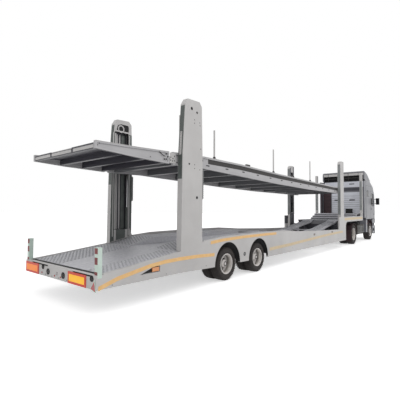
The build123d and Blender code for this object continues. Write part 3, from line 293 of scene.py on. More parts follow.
# Lines of the decks, as station and height of the upper face, and the walls they lie between
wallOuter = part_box("side_wall_left")[1].y
platformLine = [(0.14, 0.64), (1.9, 0.83)]
humpLine = [(1.9, 0.83), (2.7, 0.985), (6.6, 1.005)]
wellLine = [(6.6, 1.005), (7.8, 0.89), (9.0, 0.845), (9.8, 0.77)]
rampLine = [(9.8, 0.77), (11.306, 0.88), (12.1, 1.0), (13.0, 1.1), (13.5, 1.22)]
railTop = [(1.8, 2.83), (2.8, 2.87), (4.3, 2.87), (6.5, 2.82), (9.0, 2.79), (12.1, 2.75), (13.3, 2.745)]
flapTop = [(0.05, 2.77), (0.7, 2.785), (1.69, 2.825)]
trackDrop = {"deck": 0.07, "flap": 0.025}
deckTrackLine = [(x, z - trackDrop["deck"]) for x, z in railTop]
flapTrackLine = [(x, z - trackDrop["flap"]) for x, z in flapTop]


def levelAt(line, x):
    # height and slope of a line at a station
    for (xa, za), (xb, zb) in zip(line, line[1:]):
        if xa <= x <= xb:
            return za + (zb - za) * (x - xa) / (xb - xa), math.atan2(zb - za, xb - xa)
    return line[-1][1], 0.0


def heightAt(line, x):
    return levelAt(line, x)[0]


# Small tools for meshes: everything is drawn at its station in metres and shifted to the frame

def upright(middle, axis):
    # stands a form at a point of the frame, along the axis
    return Matrix.Translation(middle) @ axis.to_track_quat("Z", "Y").to_matrix().to_4x4()


def paint(faces, slot):
    for face in faces:
        face.material_index = slot


def circle(form, radiusX, radiusY, rise, segments, place=Matrix()):
    # ring of points round an oval
    points = []
    for i in range(segments):
        angle = 2 * math.pi * i / segments
        point = Vector((radiusX * math.cos(angle), radiusY * math.sin(angle), rise))
        points.append(form.verts.new(place @ point))
    return points


def skin(form, loops, slot=0, smooth=True):
    # faces between each ring of points and the next
    for first, second in zip(loops, loops[1:]):
        for i in range(len(first)):
            j = (i + 1) % len(first)
            face = form.faces.new((first[i], first[j], second[j], second[i]))
            face.material_index = slot
            face.smooth = smooth


def addBox(form, x0, x1, y0, y1, z0, z1, slot=0, bevel=0.0):
    middle = Matrix.Translation((station((x0 + x1) / 2), (y0 + y1) / 2, (z0 + z1) / 2))
    size = Matrix.Diagonal((abs(x1 - x0), abs(y1 - y0), abs(z1 - z0), 1))
    made = bmesh.ops.create_cube(form, size=1, matrix=middle @ size)["verts"]
    paint({face for vert in made for face in vert.link_faces}, slot)
    if bevel:
        edges = list({edge for vert in made for edge in vert.link_edges})
        result = bmesh.ops.bevel(form, geom=edges, offset=bevel, segments=2, affect="EDGES", profile=0.5)
        paint(result["faces"], slot)


def addRod(form, start, end, radius, segments=16, slot=0):
    # start and end as station, across, height
    a, b = framePoint(*start), framePoint(*end)
    made = bmesh.ops.create_cone(form, cap_ends=True, segments=segments, radius1=radius, radius2=radius,
                                 depth=(b - a).length, matrix=upright((a + b) / 2, b - a))["verts"]
    for face in {face for vert in made for face in vert.link_faces}:
        face.material_index = slot
        face.smooth = len(face.verts) == 4


def addStud(form, x, z, y0, y1, radius, segments=8, slot=0):
    # short rod across the vehicle
    addRod(form, (x, y0, z), (x, y1, z), radius, segments, slot)


def turnedLoops(form, centre, axis, rows, segments):
    # rows of radius and rise, turned round the axis
    place = upright(framePoint(*centre), Vector(axis))
    return [circle(form, radius, radius, rise, segments, place) for radius, rise in rows]


def addRing(form, centre, axis, outer, inner, depth, segments=20, slot=0):
    # flat ring with a raised face, for sockets and lamp rims
    rows = [(outer, 0.0), (outer, depth), ((outer + inner) / 2, depth * 1.3), (inner, depth), (inner, 0.0)]
    skin(form, turnedLoops(form, centre, axis, rows, segments), slot)


def addTube(form, centre, axis, outer, inner, length, slot):
    # thin round sleeve from the centre along the axis
    rows = [(outer, 0.0), (outer, length), (inner, length), (inner, 0.0)]
    loops = turnedLoops(form, centre, axis, rows, 40)
    skin(form, loops + loops[:1], slot)


def addPlate(form, outline, thickness, axis, slot=0):
    # closed outline of station, across, height points, thickened along the axis
    lower = [form.verts.new(framePoint(*point)) for point in outline]
    shift = Vector(axis) * thickness
    upper = [form.verts.new(vert.co + shift) for vert in lower]
    paint([form.faces.new(lower[::-1]), form.faces.new(upper)], slot)
    skin(form, [lower, upper], slot, False)


def addBand(form, line, y, low, high, thickness, sign, slot=0):
    # strips along a line of stations and heights, from low to high above it
    for (xa, za), (xb, zb) in zip(line, line[1:]):
        outline = [(xa, y, za + low), (xb, y, zb + low), (xb, y, zb + high), (xa, y, za + high)]
        addPlate(form, outline, thickness, (0, sign, 0), slot)


def meshOf(form, name):
    bmesh.ops.recalc_face_normals(form, faces=form.faces)
    mesh = bpy.data.meshes.new(name)
    form.to_mesh(mesh)
    form.free()
    return mesh


def finishPiece(form, name, keys, body, replaced=()):
    mesh = meshOf(form, name)
    for key in keys:
        mesh.materials.append(materials[key])
    piece = newObject(name, mesh)
    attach(piece, body)
    if replaced:
        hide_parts(*replaced)


# One Geometry Nodes tree puts a unit on every point of a list, turned by the point's own angles

def makeRepeatTree():
    tree = bpy.data.node_groups.new("repeat", "GeometryNodeTree")
    face = tree.interface
    face.new_socket("Points", in_out="INPUT", socket_type="NodeSocketGeometry")
    unitSocket = face.new_socket("Unit", in_out="INPUT", socket_type="NodeSocketObject")
    finishSocket = face.new_socket("Finish", in_out="INPUT", socket_type="NodeSocketMaterial")
    face.new_socket("Pieces", in_out="OUTPUT", socket_type="NodeSocketGeometry")
    source = put(tree, "NodeGroupInput")
    unit = put(tree, "GeometryNodeObjectInfo", {"Object": source.outputs["Unit"]})
    angles = put(tree, "GeometryNodeInputNamedAttribute", {"Name": "turn"}, data_type="FLOAT_VECTOR")
    turn = put(tree, "FunctionNodeEulerToRotation", {0: angles.outputs[0]})
    spread = put(tree, "GeometryNodeInstanceOnPoints", {"Points": source.outputs["Points"],
                                                        "Instance": unit.outputs["Geometry"],
                                                        "Rotation": turn.outputs[0]})
    solid = put(tree, "GeometryNodeRealizeInstances", {"Geometry": spread.outputs[0]})
    coloured = put(tree, "GeometryNodeSetMaterial", {"Geometry": solid.outputs[0],
                                                     "Material": source.outputs["Finish"]})
    put(tree, "NodeGroupOutput", {"Pieces": coloured.outputs[0]})
    return tree, unitSocket.identifier, finishSocket.identifier


repeatTree, unitKey, finishKey = makeRepeatTree()


def repeat(name, unitForm, spots, key, body):
    # spots: list of place (station, across, height) and angles
    unit = newObject(name + "-unit", meshOf(unitForm, name + "-unit"))
    carrier = bpy.data.meshes.new(name + "-spots")
    places, turns = zip(*spots)
    carrier.from_pydata([framePoint(*place) for place in places], [], [])
    layer = carrier.attributes.new("turn", "FLOAT_VECTOR", "POINT")
    for item, turn in zip(layer.data, turns):
        item.vector = turn
    host = newObject(name + "-host", carrier)
    modifier = host.modifiers.new("repeat", "NODES")
    modifier.node_group = repeatTree
    modifier[unitKey] = unit
    modifier[finishKey] = materials[key]
    bpy.context.view_layer.update()
    evaluated = host.evaluated_get(bpy.context.evaluated_depsgraph_get())
    mesh = bpy.data.meshes.new_from_object(evaluated)
    host.modifiers.clear()
    bpy.data.objects.remove(host)
    bpy.data.objects.remove(unit)
    mesh.name = name
    piece = newObject(name, mesh)
    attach(piece, body)


def ovalForm(rows, segments, half, closed):
    # rows of radius-share and rise, swept round an oval with the given half sizes
    form = bmesh.new()
    loops = [circle(form, half[0] * share, half[1] * share, rise, segments) for share, rise in rows]
    skin(form, loops, smooth=False)
    if closed:
        form.faces.new(loops[-1])
    return form


# Grip sheets: rows of punched oval holes with raised rims, the holes drawn as black discs of painted shade,
# every second row set off by half a pitch

grip = {"along": 0.078, "across": 0.062, "holeX": 0.024, "holeY": 0.0155,
        "rim": [(1.45, 0.0004), (1.2, 0.004), (1.0, 0.004), (0.94, 0.0006)],
        "hole": [(1.0, 0.0008), (0.9, 0.0012)]}


def gripRows(line, x0, x1, y0, y1, along, across):
    spots = []
    rows = max(1, int((y1 - y0) / across))
    for row in range(rows + 1):
        y = y0 + (y1 - y0) * row / rows
        x = x0 + (along / 2 if row % 2 else 0)
        while x <= x1:
            height, slope = levelAt(line, x)
            spots.append(((x, y, height), (0, -slope, 0)))
            x += along
    return spots


def gripSheet(name, strips, body, scale=1.0, segments=8):
    # strips: line, first and last station, first and last place across
    spots = []
    for line, x0, x1, y0, y1 in strips:
        spots += gripRows(line, x0, x1, y0, y1, grip["along"] * scale, grip["across"] * scale)
    half = (grip["holeX"] * scale, grip["holeY"] * scale)
    repeat(name + "-rims", ovalForm(grip["rim"], segments, half, False), spots, "deckSteel", body)
    # black discs in the rims stand for the holes: painted shade
    repeat(name + "-holes", ovalForm(grip["hole"], segments, half, True), spots, "voidBlack", body)


# sheets on both sides: line, stations, places across, body, scale and corners of the holes
gripPairs = {"hump": (humpLine, 1.98, 6.55, 0.47, 1.17, "trailer", 1.0, 8),
             "well": (wellLine, 6.68, 9.72, 0.47, 1.17, "trailer", 1.0, 8),
             "ramp": (rampLine, 9.86, 12.05, 0.43, 0.79, "trailer", 1.1, 8),
             "deck": (deckTrackLine, 1.9, 13.2, 0.42, 1.03, "upper_deck", 1.5, 6),
             "flap": (flapTrackLine, 0.12, 1.6, 0.42, 1.03, "rear_flap", 1.3, 6)}
gripSheet("platform-grip", [(platformLine, 0.2, 1.86, 0.27, 1.16), (platformLine, 0.2, 1.86, -1.18, -0.74)],
          "trailer")
for sideName, sign in sides:
    for key, (line, x0, x1, inner, outer, body, scale, segments) in gripPairs.items():
        strip = (line, x0, x1, *sorted((sign * inner, sign * outer)))
        gripSheet(key + "-grip-" + sideName, [strip], body, scale, segments)
print("grip sheets")


# Tail: marker boards, reflector, post bands, sockets

boards = {"spans": ((0.697, 1.262, 1), (-0.985, -0.42, 2)), "bottom": 0.421, "top": 0.621, "border": 0.042,
          "depth": 0.012, "corner": [(0.012, -1.275, 0.385), (0.012, -1.115, 0.425), (0.012, -1.235, 0.58)],
          "shrink": 0.8}


def markerBoards():
    form = bmesh.new()
    edge = boards["border"]
    bottom, top = boards["bottom"], boards["top"]
    for low, high, field in boards["spans"]:
        addBox(form, 0.002, boards["depth"], low, high, bottom, top, 0, 0.001)
        addBox(form, 0.0004, 0.004, low + edge, high - edge, bottom + edge, top - edge, field)
    corner = boards["corner"]
    addPlate(form, corner, 0.01, (-1, 0, 0), 3)
    middleY, middleZ = (sum(point[i] for point in corner) / 3 for i in (1, 2))
    inner = [(0.003, middleY + (y - middleY) * boards["shrink"], middleZ + (z - middleZ) * boards["shrink"])
             for _, y, z in corner]
    addPlate(form, inner, 0.0025, (-1, 0, 0), 4)
    finishPiece(form, "marker-boards", ["plateRed", "plateOrange", "plateYellow", "postWhite", "redLens"],
                "trailer", ("marker_plates",))


# bands as shares of the height from the top down, and whether red
markerPost = {"inner": 1.192, "outer": 1.273, "top": 1.068, "height": 0.46,
              "bands": [(0.0, 0.2, 0), (0.2, 0.32, 1), (0.32, 0.56, 0), (0.56, 0.8, 1), (0.8, 1.0, 0)]}


def markerPostBands():
    form = bmesh.new()
    top, height = markerPost["top"], markerPost["height"]
    for sign in (-1, 1):
        y0, y1 = sorted((sign * markerPost["inner"], sign * markerPost["outer"]))
        for start, end, slot in markerPost["bands"]:
            addBox(form, 0.0285, 0.0305, y0, y1, top - height * end, top - height * start, slot)
        addBox(form, 0.027, 0.113, y0 - 0.002, y1 + 0.001, 1.066, 1.074, 1, 0.002)
    finishPiece(form, "marker-post-bands", ["postRed", "postWhite"], "trailer")


sockets = [(0.31, 0.52, 0.038), (-0.25, 0.52, 0.038), (0.52, 0.585, 0.026), (-1.15, 0.59, 0.03)]


def tailFittings():
    form = bmesh.new()
    # black boxes at the back of the slots in the tail beam: painted shade
    for y0, y1 in ((0.332, 0.998), (-1.148, -0.562)):
        addBox(form, 0.03, 0.05, y0, y1, 0.611, 0.637, 0)
    # black strip along the gap between the tail beam and the platform: painted shade of the gap
    addBox(form, 0.075, 0.15, -1.185, 1.185, 0.6495, 0.653, 0)
    for y, z, radius in sockets:
        addRing(form, (0.0118, y, z), (-1, 0, 0), radius + 0.018, radius - 0.004, 0.008)
        addRod(form, (0.04, y, z), (0.032, y, z), radius, 20, 0)
    for y in (0.42, -0.38, 0.16, -0.1):
        addRod(form, (0.012, y, 0.455), (0.006, y, 0.455), 0.012, 6, 1)
    for y in (0.56, -0.16, 0.06):
        addRod(form, (0.012, y, 0.475), (0.004, y, 0.475), 0.016, 16, 2)
    finishPiece(form, "tail-fittings", ["voidBlack", "channelPaint", "redLens"], "trailer")


markerBoards()
markerPostBands()
tailFittings()
print("tail")


# Reflective tape, lamps and rivets on the side walls

tape = {
    "height": 0.072, "fadedHeight": 0.09, "neckHeight": 0.11, "depth": 0.0016,
    "tail": [(0.045, 0.44), (0.4, 0.545), (0.8, 0.612), (1.09, 0.66), (1.46, 0.692), (1.87, 0.7),
             (2.4, 0.695), (3.0, 0.67)],
    "arches": [(2.86, 0.945), (3.3, 0.975), (4.2, 0.995), (5.4, 0.995), (6.05, 0.99)],
    "faded": [(5.62, 0.56), (6.1, 0.57), (7.0, 0.585), (8.0, 0.62), (9.9, 0.68), (11.6, 0.72), (12.7, 0.73)],
    "neck": [(13.0, 1.29), (13.8, 1.3), (16.3, 1.31)],
}


def tapeBand(form, line, sign, height, slot=0):
    half = tape["depth"] / 2
    addBand(form, line, sign * (wallOuter + half), -height / 2, height / 2, half, sign, slot)


def sideTape():
    for sideName, sign in sides:
        form = bmesh.new()
        tapeBand(form, tape["tail"], sign, tape["height"])
        tapeBand(form, tape["arches"], sign, tape["height"])
        tapeBand(form, tape["faded"], sign, tape["fadedHeight"], 1)
        if sign < 0:
            tapeBand(form, tape["neck"], sign, tape["neckHeight"], 1)
        finishPiece(form, "side-tape-" + sideName, ["tapeYellow", "tapeFaded"], "trailer")


def addArch(form, x, z, radius, thickness, y0, y1, segments=28):
    # half of a thin tube over a wheel
    corners = ((radius, y0), (radius, y1), (radius - thickness, y1), (radius - thickness, y0))
    rows = []
    for i in range(segments + 1):
        angle = math.pi * i / segments
        rows.append([form.verts.new((station(x + r * math.cos(angle)), y, z + r * math.sin(angle)))
                     for r, y in corners])
    for end in (rows[0], rows[-1]):
        form.faces.new(end)
    skin(form, rows, smooth=False)


wall = {"axles": (3.54, 5.0), "axleHeight": 0.393, "arch": 0.5198, "archDepth": 0.007, "archInner": 1.216,
        "pocket": 0.0345, "pocketLine": ((0.87, 0.535), (1.175, 0.634), (1.33, 0.634), (1.33, 0.535)),
        "lamps": (9.15, 11.2), "boltHeight": 0.46,
        "bolts": {0.011: (5.7, 7.2, 8.6, 10.2, 12.0, 12.9), 0.01: (0.3, 1.5, 2.7)}}


def wallFittings():
    form = bmesh.new()
    for sign in (-1, 1):
        face = sign * wallOuter
        for x in wall["axles"]:
            addArch(form, x, wall["axleHeight"], wall["arch"], wall["archDepth"],
                    *sorted((sign * wall["archInner"], face - sign * 0.003)))
        # floor of the lamp pocket, black as painted shade, and the clear rim of the lamp
        addPlate(form, [(x, face - sign * wall["pocket"], z) for x, z in wall["pocketLine"]], 0.002,
                 (0, sign, 0), 0)
        addRing(form, (4.27, face, 0.56), (0, sign, 0), 0.048, 0.03, 0.006)
        addStud(form, 4.27, 0.56, face, face + sign * 0.004, 0.032, 16, 1)
        y0, y1 = face - sign * 0.001, face + sign * 0.0035
        for x in wall["lamps"]:
            addBox(form, x - 0.072, x + 0.072, y0, y1, 0.76, 0.825, 0, 0.001)
            # dusty lens over the lamp
            lens = [vert.co for vert in nodes["side_lamps"].data.vertices
                    if abs(vert.co.x - station(x)) < 0.1 and vert.co.y * sign > 0]
            low = [min(point[i] for point in lens) - 0.0006 for i in range(3)]
            high = [max(point[i] for point in lens) + 0.0006 for i in range(3)]
            addBox(form, low[0] - tailX, high[0] - tailX, low[1], high[1], low[2], high[2], 3)
        for radius, places in wall["bolts"].items():
            for x in places:
                addStud(form, x, wall["boltHeight"], face, face + sign * 0.004, radius, 8, 1)
    finishPiece(form, "wall-fittings", ["voidBlack", "channelPaint", "redLens", "dustyLens"], "trailer")


sideTape()
wallFittings()
print("walls")


# Lift posts: bolt holes in the outer plates, guide rails and rollers' paths in the open faces

outerHoles = [(2.2, 3.79, 0.034), (2.37, 3.74, 0.026), (2.29, 3.57, 0.011), (2.46, 3.54, 0.011),
              (2.29, 3.5, 0.011), (2.47, 3.48, 0.011), (2.5, 2.98, 0.012), (2.13, 2.62, 0.022),
              (2.3, 2.62, 0.011), (2.3, 2.54, 0.011), (2.47, 2.53, 0.011), (2.38, 1.93, 0.032)]
frontHoles = [(12.5, 3.6), (12.85, 3.6), (12.5, 2.1), (12.85, 2.1), (12.6, 1.6)]

# dark films on the open side of the posts, grease and painted shade, as outlines of station and height
postFilms = {
    "rear": [[(1.904, 0.862), (1.94, 2.85), (2.0, 3.64), (2.019, 3.64), (2.019, 0.89)],
             [(2.441, 0.975), (2.556, 0.99), (2.556, 2.85), (2.54, 3.64), (2.441, 3.64)],
             [(2.08, 0.9), (2.36, 0.955), (2.36, 1.168), (2.08, 1.168)]],
    "leftFront": [[(12.434, 0.95), (12.434, 3.78), (12.548, 3.9), (12.548, 0.97)],
                  [(12.802, 1.0), (12.802, 3.93), (12.916, 3.9), (12.916, 1.02)],
                  [(12.57, 0.98), (12.57, 1.58), (12.78, 1.58), (12.78, 1.0)]],
}
# on the right the films start higher up
postFilms["rightFront"] = [[(x, max(z, 1.42)) for x, z in outline] for outline in postFilms["leftFront"][:2]]
postEdges = [((1.925, 2.3), (1.935, 2.85)), ((1.935, 2.85), (1.998, 3.82))]
headOpening = [(2.06, 3.7), (2.1, 3.83), (2.2, 3.87), (2.42, 3.87), (2.44, 3.83), (2.44, 3.7)]
# station, half width, heights and slot
guideRails = [(1.975, 0.014, 1.0, 3.62, 5), (2.47, 0.014, 1.0, 3.62, 5), (12.49, 0.012, 1.62, 3.58, 1),
              (12.86, 0.012, 1.62, 3.58, 1)]
post = {"inner": 1.145, "lift": 0.0002, "film": 0.0016, "edgeInner": 1.15, "edgeOuter": 1.262, "rail": 0.0045,
        "back": 0.0155}


def postFittings():
    form = bmesh.new()
    lift = post["lift"]
    for sign in (-1, 1):
        face = sign * wallOuter
        for x, z, radius in outerHoles:
            addStud(form, x, z, face - sign * 0.002, face + sign * 0.0008, radius, 16)
        for x, z in frontHoles:
            addStud(form, x, z, face - sign * 0.002, face + sign * 0.0008, 0.012, 12)
        inner, inward = sign * post["inner"], (0, -sign, 0)
        # dark film of grease and painted shade on the lips, on the foot plate and on the rear edge
        for key, slot in (("rear", 4), ("leftFront" if sign > 0 else "rightFront", 3)):
            for outline in postFilms[key]:
                addPlate(form, [(x, inner + sign * lift, z) for x, z in outline], post["film"], inward, slot)
        y0, y1 = sign * post["edgeInner"], sign * post["edgeOuter"]
        for (xa, za), (xb, zb) in postEdges:
            outline = [(xa - lift, y0, za), (xb - lift, y0, zb), (xb - lift, y1, zb), (xa - lift, y1, za)]
            addPlate(form, outline, 0.0012, (-1, 0, 0), 4)
        # channel paint over the rear faces of the front and slim posts, and over the inner face of the slim
        # one: painted shade
        for x0, z0, z1 in ((12.43, 1.5, 3.79), (16.3, 1.72, 3.3)):
            addBox(form, x0 - 0.0014, x0 + lift, sign * 1.152, sign * 1.262, z0, z1, 1)
        addBox(form, 16.304, 16.406, inner + sign * lift, inner - sign * post["film"], 1.5, 3.7, 1)
        # guide rails beside the slots, with their bolts
        y0, y1 = inner - sign * post["rail"], inner + sign * 0.001
        for x, half, z0, z1, slot in guideRails:
            addBox(form, x - half, x + half, y0, y1, z0, z1, slot, 0.002)
        for index in range(13):
            addStud(form, 2.05, 1.25 + index * 0.19, sign * 1.246, sign * 1.24, 0.012, 6, 2)
        # channel behind the slot: back painted dark as shade, light guide bars out of the rollers' way
        back = face - sign * post["back"]
        addBox(form, 2.0, 2.52, back - sign * 0.002, back, 1.1, 3.75, 3)
        addBox(form, 12.5, 12.85, back - sign * 0.002, back, 1.5, 3.7, 3)
        addBox(form, 2.03, 2.066, sign * 1.16, sign * 1.25, 1.18, 3.62, 5, 0.003)
        for x0, x1, slot in ((2.13, 2.17, 5), (2.215, 2.25, 5), (2.285, 2.39, 4)):
            addBox(form, x0, x1, sign * 1.243, sign * 1.259, 1.18, 3.62, slot, 0.003)
        # head of the rear post: opening over the rope wheel, a black plate of painted shade, and its cheek
        addPlate(form, [(x, inner + sign * lift, z) for x, z in headOpening], 0.0022, inward, 0)
        addRing(form, (2.2, inner - sign * 0.002, 3.745), inward, 0.1, 0.066, 0.001, 28, 5)
        # folding carrier of the hoses in front of the rear post
        for index in range(14):
            addStud(form, 2.605, 1.94 + index * 0.045, sign * 1.19, sign * 1.24, 0.036, 12, 1)
        # lifting chains hung from the sheaves
        for x in (2.045, 2.405):
            addRod(form, (x, sign * 1.19, 2.0), (x, sign * 1.19, 3.8), 0.008, 8, 2)
    # control box behind the left front post: dark cover with the levers of the lifts
    addBox(form, 12.001, 12.179, 1.1482, 1.1503, 1.06, 1.448, 3)
    addBox(form, 11.9982, 12.0003, 1.152, 1.248, 1.06, 1.448, 3)
    for index in range(4):
        x = 12.03 + index * 0.04
        addRod(form, (x, 1.149, 1.33), (x, 1.118, 1.37), 0.006, 8, 0)
    keys = ["voidBlack", "channelPaint", "castIron", "chassisPaint", "greasyPaint", "trailerPaint"]
    finishPiece(form, "post-fittings", keys, "trailer")


postFittings()
print("posts")


# Upper deck: lips and holes of the rails, cover of the hinge, feet of the stanchions

rail = {"face": 1.135, "lip": 0.062, "rise": 0.006, "web": 0.0135, "shadowLow": -0.145, "shadowHigh": -0.036}
shadowLine = [(2.95, 2.87)] + [(min(x, 13.24), z) for x, z in railTop if x > 2.95]


def deckFittings():
    form = bmesh.new()
    for sign in (-1, 1):
        face = sign * rail["face"]
        addBand(form, railTop, face - sign * rail["lip"], 0.0, rail["rise"], 0.063, sign)
        web = face - sign * rail["web"]
        # shadow gap under the rails' upper flange
        addBand(form, shadowLine, web, rail["shadowLow"], rail["shadowHigh"], 0.002, sign, 2)
        for index in range(26):
            x = 2.75 + index * 0.38
            top = heightAt(railTop, x)
            addStud(form, x, top - 0.09, web, web + sign * 0.0006, 0.017, 12, 1)
            if index % 2 == 0:
                addBox(form, x + 0.13, x + 0.25, web, web + sign * 0.0006, top - 0.2, top - 0.175, 1)
        for x in (1.92, 1.99, 2.62):
            for drop in (0.06, 0.2):
                addStud(form, x, heightAt(railTop, x) - drop, web, web + sign * 0.006, 0.012, 8, 2)
        addBox(form, 1.83, 1.862, web, face + sign * 0.001, 2.665, 2.79, 2, 0.003)
        # cover over the gap at the flap's hinge, with its bolt holes
        addBox(form, 1.7, 1.865, face + sign * 0.0006, face + sign * 0.0034, 2.605, 2.812, 0)
        for x, z in ((1.725, 2.66), (1.775, 2.65), (1.73, 2.72), (1.79, 2.7), (1.83, 2.66), (1.835, 2.75)):
            addStud(form, x, z, face + sign * 0.003, face + sign * 0.0042, 0.014, 10, 1)
    # feet of the stanchions
    for x in (3.203, 6.205, 9.195):
        top = heightAt(railTop, x)
        addRod(form, (x, -1.105, top + 0.006), (x, -1.105, top + 0.05), 0.032, 16, 2)
        addBox(form, x - 0.06, x + 0.06, -1.133, -1.078, top + 0.005, top + 0.014, 2, 0.002)
    for x in (4.7, 7.6, 10.4):
        top = heightAt(railTop, x)
        addBox(form, x - 0.09, x + 0.09, -1.133, -1.08, top + 0.005, top + 0.05, 2, 0.004)
    finishPiece(form, "deck-fittings", ["trailerPaint", "voidBlack", "castIron"], "upper_deck")


flapHoles = {0.009: ((0.085, 2.70), (0.12, 2.735), (1.2, 2.66)),
             0.016: ((1.56, 2.66), (1.61, 2.665), (1.61, 2.77), (1.655, 2.72))}


def flapFittings():
    form = bmesh.new()
    for sign in (-1, 1):
        face = sign * rail["face"]
        addBand(form, flapTop, face - sign * rail["lip"], 0.0, rail["rise"], 0.066, sign)
        for radius, places in flapHoles.items():
            for x, z in places:
                addStud(form, x, z, face, face + sign * 0.0008, radius, 10, 1)
        # lever of the flap lock and its stop
        knee = (1.5, face + sign * 0.004, 2.74)
        addRod(form, (1.42, face, 2.79), knee, 0.007, 8, 1)
        addRod(form, knee, (1.58, face + sign * 0.004, 2.715), 0.007, 8, 1)
    # folded end plates seen from behind
    for y0, y1 in ((0.42, 1.06), (-1.06, -0.42), (-0.36, 0.36)):
        addBox(form, 0.054, 0.06, y0, y1, 2.665, 2.742, 0, 0.002)
    finishPiece(form, "flap-fittings", ["trailerPaint", "voidBlack"], "rear_flap")


deckFittings()
flapFittings()
print("upper deck")


# Wheels: tread blocks, sidewall ribs, wheel nuts, valves and hand holes

wheelSizes = {"tractor": {"width": 0.315, "gap": 0.035, "rim": 0.29, "lugs": 64, "hub": 0.12},
              "trailer": {"width": 0.245, "gap": 0.03, "rim": 0.23, "lugs": 56, "hub": 0.095}}
tread = {"rows": 5, "start": 0.27, "span": 0.46, "depth": 0.0025, "proud": 0.0014, "ground": 0.0017,
         "shoulders": ((0.1, -1), (0.9, 1)), "shoulderDepth": 0.009, "tilt": -0.32}
wheel = {"face": 1.245, "single": 0.095, "bolts": 10, "boltCircle": 0.53, "holes": 8, "holeCircle": 0.73,
         "hole": 0.15}


def treadUnit(length, width, height):
    form = bmesh.new()
    bmesh.ops.create_cube(form, size=1, matrix=Matrix.Diagonal((length, width, height, 1)))
    for vert in form.verts:
        if vert.co.z > 0:
            vert.co.x *= 0.86
            vert.co.y *= 0.93
    return form


def wheelSpot(middle, radius, angle, y):
    return middle.x + radius * math.sin(angle), y, middle.z + radius * math.cos(angle)


def dressWheel(name, low, high):
    body = "wheel_" + name
    radius = (high.z - low.z) / 2
    middle = Vector(((low.x + high.x) / 2 - tailX, (low.y + high.y) / 2, (low.z + high.z) / 2))
    sign = 1 if middle.y > 0 else -1
    axis = (0, sign, 0)
    size = wheelSizes["tractor" if radius > 0.45 else "trailer"]
    width, gap, rim, lugs, hub = size.values()
    twin = (high.y - low.y) > 1.5 * width
    outerFace = sign * wheel["face"]
    blocks, shoulders = [], []
    for tyre in range(2 if twin else 1):
        faceY = outerFace - sign * tyre * (width + gap)
        for row in range(tread["rows"]):
            share = tread["start"] + tread["span"] * row / (tread["rows"] - 1)
            for lug in range(lugs):
                angle = 2 * math.pi * (lug + 0.5 * (row % 2)) / lugs
                # the load presses the blocks on the ground flat
                if middle.z + (radius + tread["proud"]) * math.cos(angle) >= tread["ground"]:
                    spot = wheelSpot(middle, radius - tread["depth"], angle, faceY - sign * width * share)
                    blocks.append((spot, (0, angle, 0.0)))
        for share, tilt in tread["shoulders"]:
            for lug in range(lugs):
                angle = 2 * math.pi * lug / lugs
                spot = wheelSpot(middle, radius - tread["shoulderDepth"], angle, faceY - sign * width * share)
                shoulders.append((spot, (tilt * sign * tread["tilt"], angle, 0.0)))
    pitch = 2 * math.pi * radius / lugs
    repeat("tread-" + name, treadUnit(pitch * 0.72, width * 0.098, 0.007), blocks, "rubber", body)
    repeat("shoulder-" + name, treadUnit(pitch * 0.6, width * 0.07, 0.008), shoulders, "rubber", body)
    form = bmesh.new()
    for ringRadius in (rim + 0.42 * (radius - rim), rim + 0.62 * (radius - rim)):
        addRing(form, (middle.x, outerFace - sign * 0.0035, middle.z), axis, ringRadius + 0.004,
                ringRadius - 0.004, 0.004, 48)
    finishPiece(form, "sidewall-" + name, ["rubber"], body)
    # nuts stand on the bolting face, which lies deep in a twin wheel and near the front of a single one
    dish = (width + gap / 2 - 0.012) if twin else wheel["single"]
    nutFace = outerFace - sign * dish
    spots = [(wheelSpot(middle, rim * wheel["boltCircle"], 2 * math.pi * i / wheel["bolts"], nutFace),
              (-sign * math.pi / 2, 0, 0)) for i in range(wheel["bolts"])]
    nut = bmesh.new()
    for corners, foot, head, depth, rise in ((6, 0.018, 0.016, 0.03, 0.015), (8, 0.011, 0.011, 0.02, 0.038)):
        bmesh.ops.create_cone(nut, cap_ends=True, segments=corners, radius1=foot, radius2=head, depth=depth,
                              matrix=Matrix.Translation((0, 0, rise)))
    repeat("nuts-" + name, nut, spots, "rodChrome", body)
    form = bmesh.new()
    # bead of the rim, and the valve
    lip = outerFace - sign * (0.13 * width - 0.014)
    addRing(form, (middle.x, lip, middle.z), axis, rim + 0.013, rim - 0.006, 0.004, 48)
    addRod(form, (middle.x, lip - sign * 0.03, middle.z + rim * 0.9), (middle.x, lip, middle.z + rim * 0.86),
           0.006, 8, 1)
    hubFace = nutFace + sign * (0.19 if twin else 0.085)
    addRing(form, (middle.x, hubFace, middle.z), axis, hub * 0.62, hub * 0.4, 0.006, 24, 1)
    # dark hub, well with painted shade and the hand holes round the bolting face
    if twin:
        for rise, outer, inner, length, slot in ((0.002, hub + 0.002, hub + 0.0004, 0.147, 1),
                                                 (0.095, rim - 0.0121, rim - 0.015, dish - 0.13, 2)):
            addTube(form, (middle.x, nutFace + sign * rise, middle.z), axis, outer, inner, length, slot)
    for i in range(wheel["holes"]):
        angle = 2 * math.pi * (i + 0.5) / wheel["holes"]
        reach = wheel["holeCircle"] * rim
        start = framePoint(middle.x + reach * math.cos(angle), outerFace + sign * 0.1,
                           middle.z + reach * math.sin(angle))
        found, place, normal = nodes["rims_" + name].ray_cast(start, Vector((0, -sign, 0)))[:3]
        if found:
            spot = Vector((place.x - tailX, place.y, place.z))
            addRod(form, spot - normal * 0.01, spot + normal * 0.0045, rim * wheel["hole"], 14, 3)
    finishPiece(form, "rim-trim-" + name, ["wheelPaint", "castIron", "wellShade", "voidBlack"], body)


for name in nodes:
    if name.startswith("tyres_"):
        dressWheel(name[6:], *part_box(name))
print("wheels")


# Tractor: lamps, tank steps and ribs; cab: rear wall, seams, wipers and what stands behind the spoiler

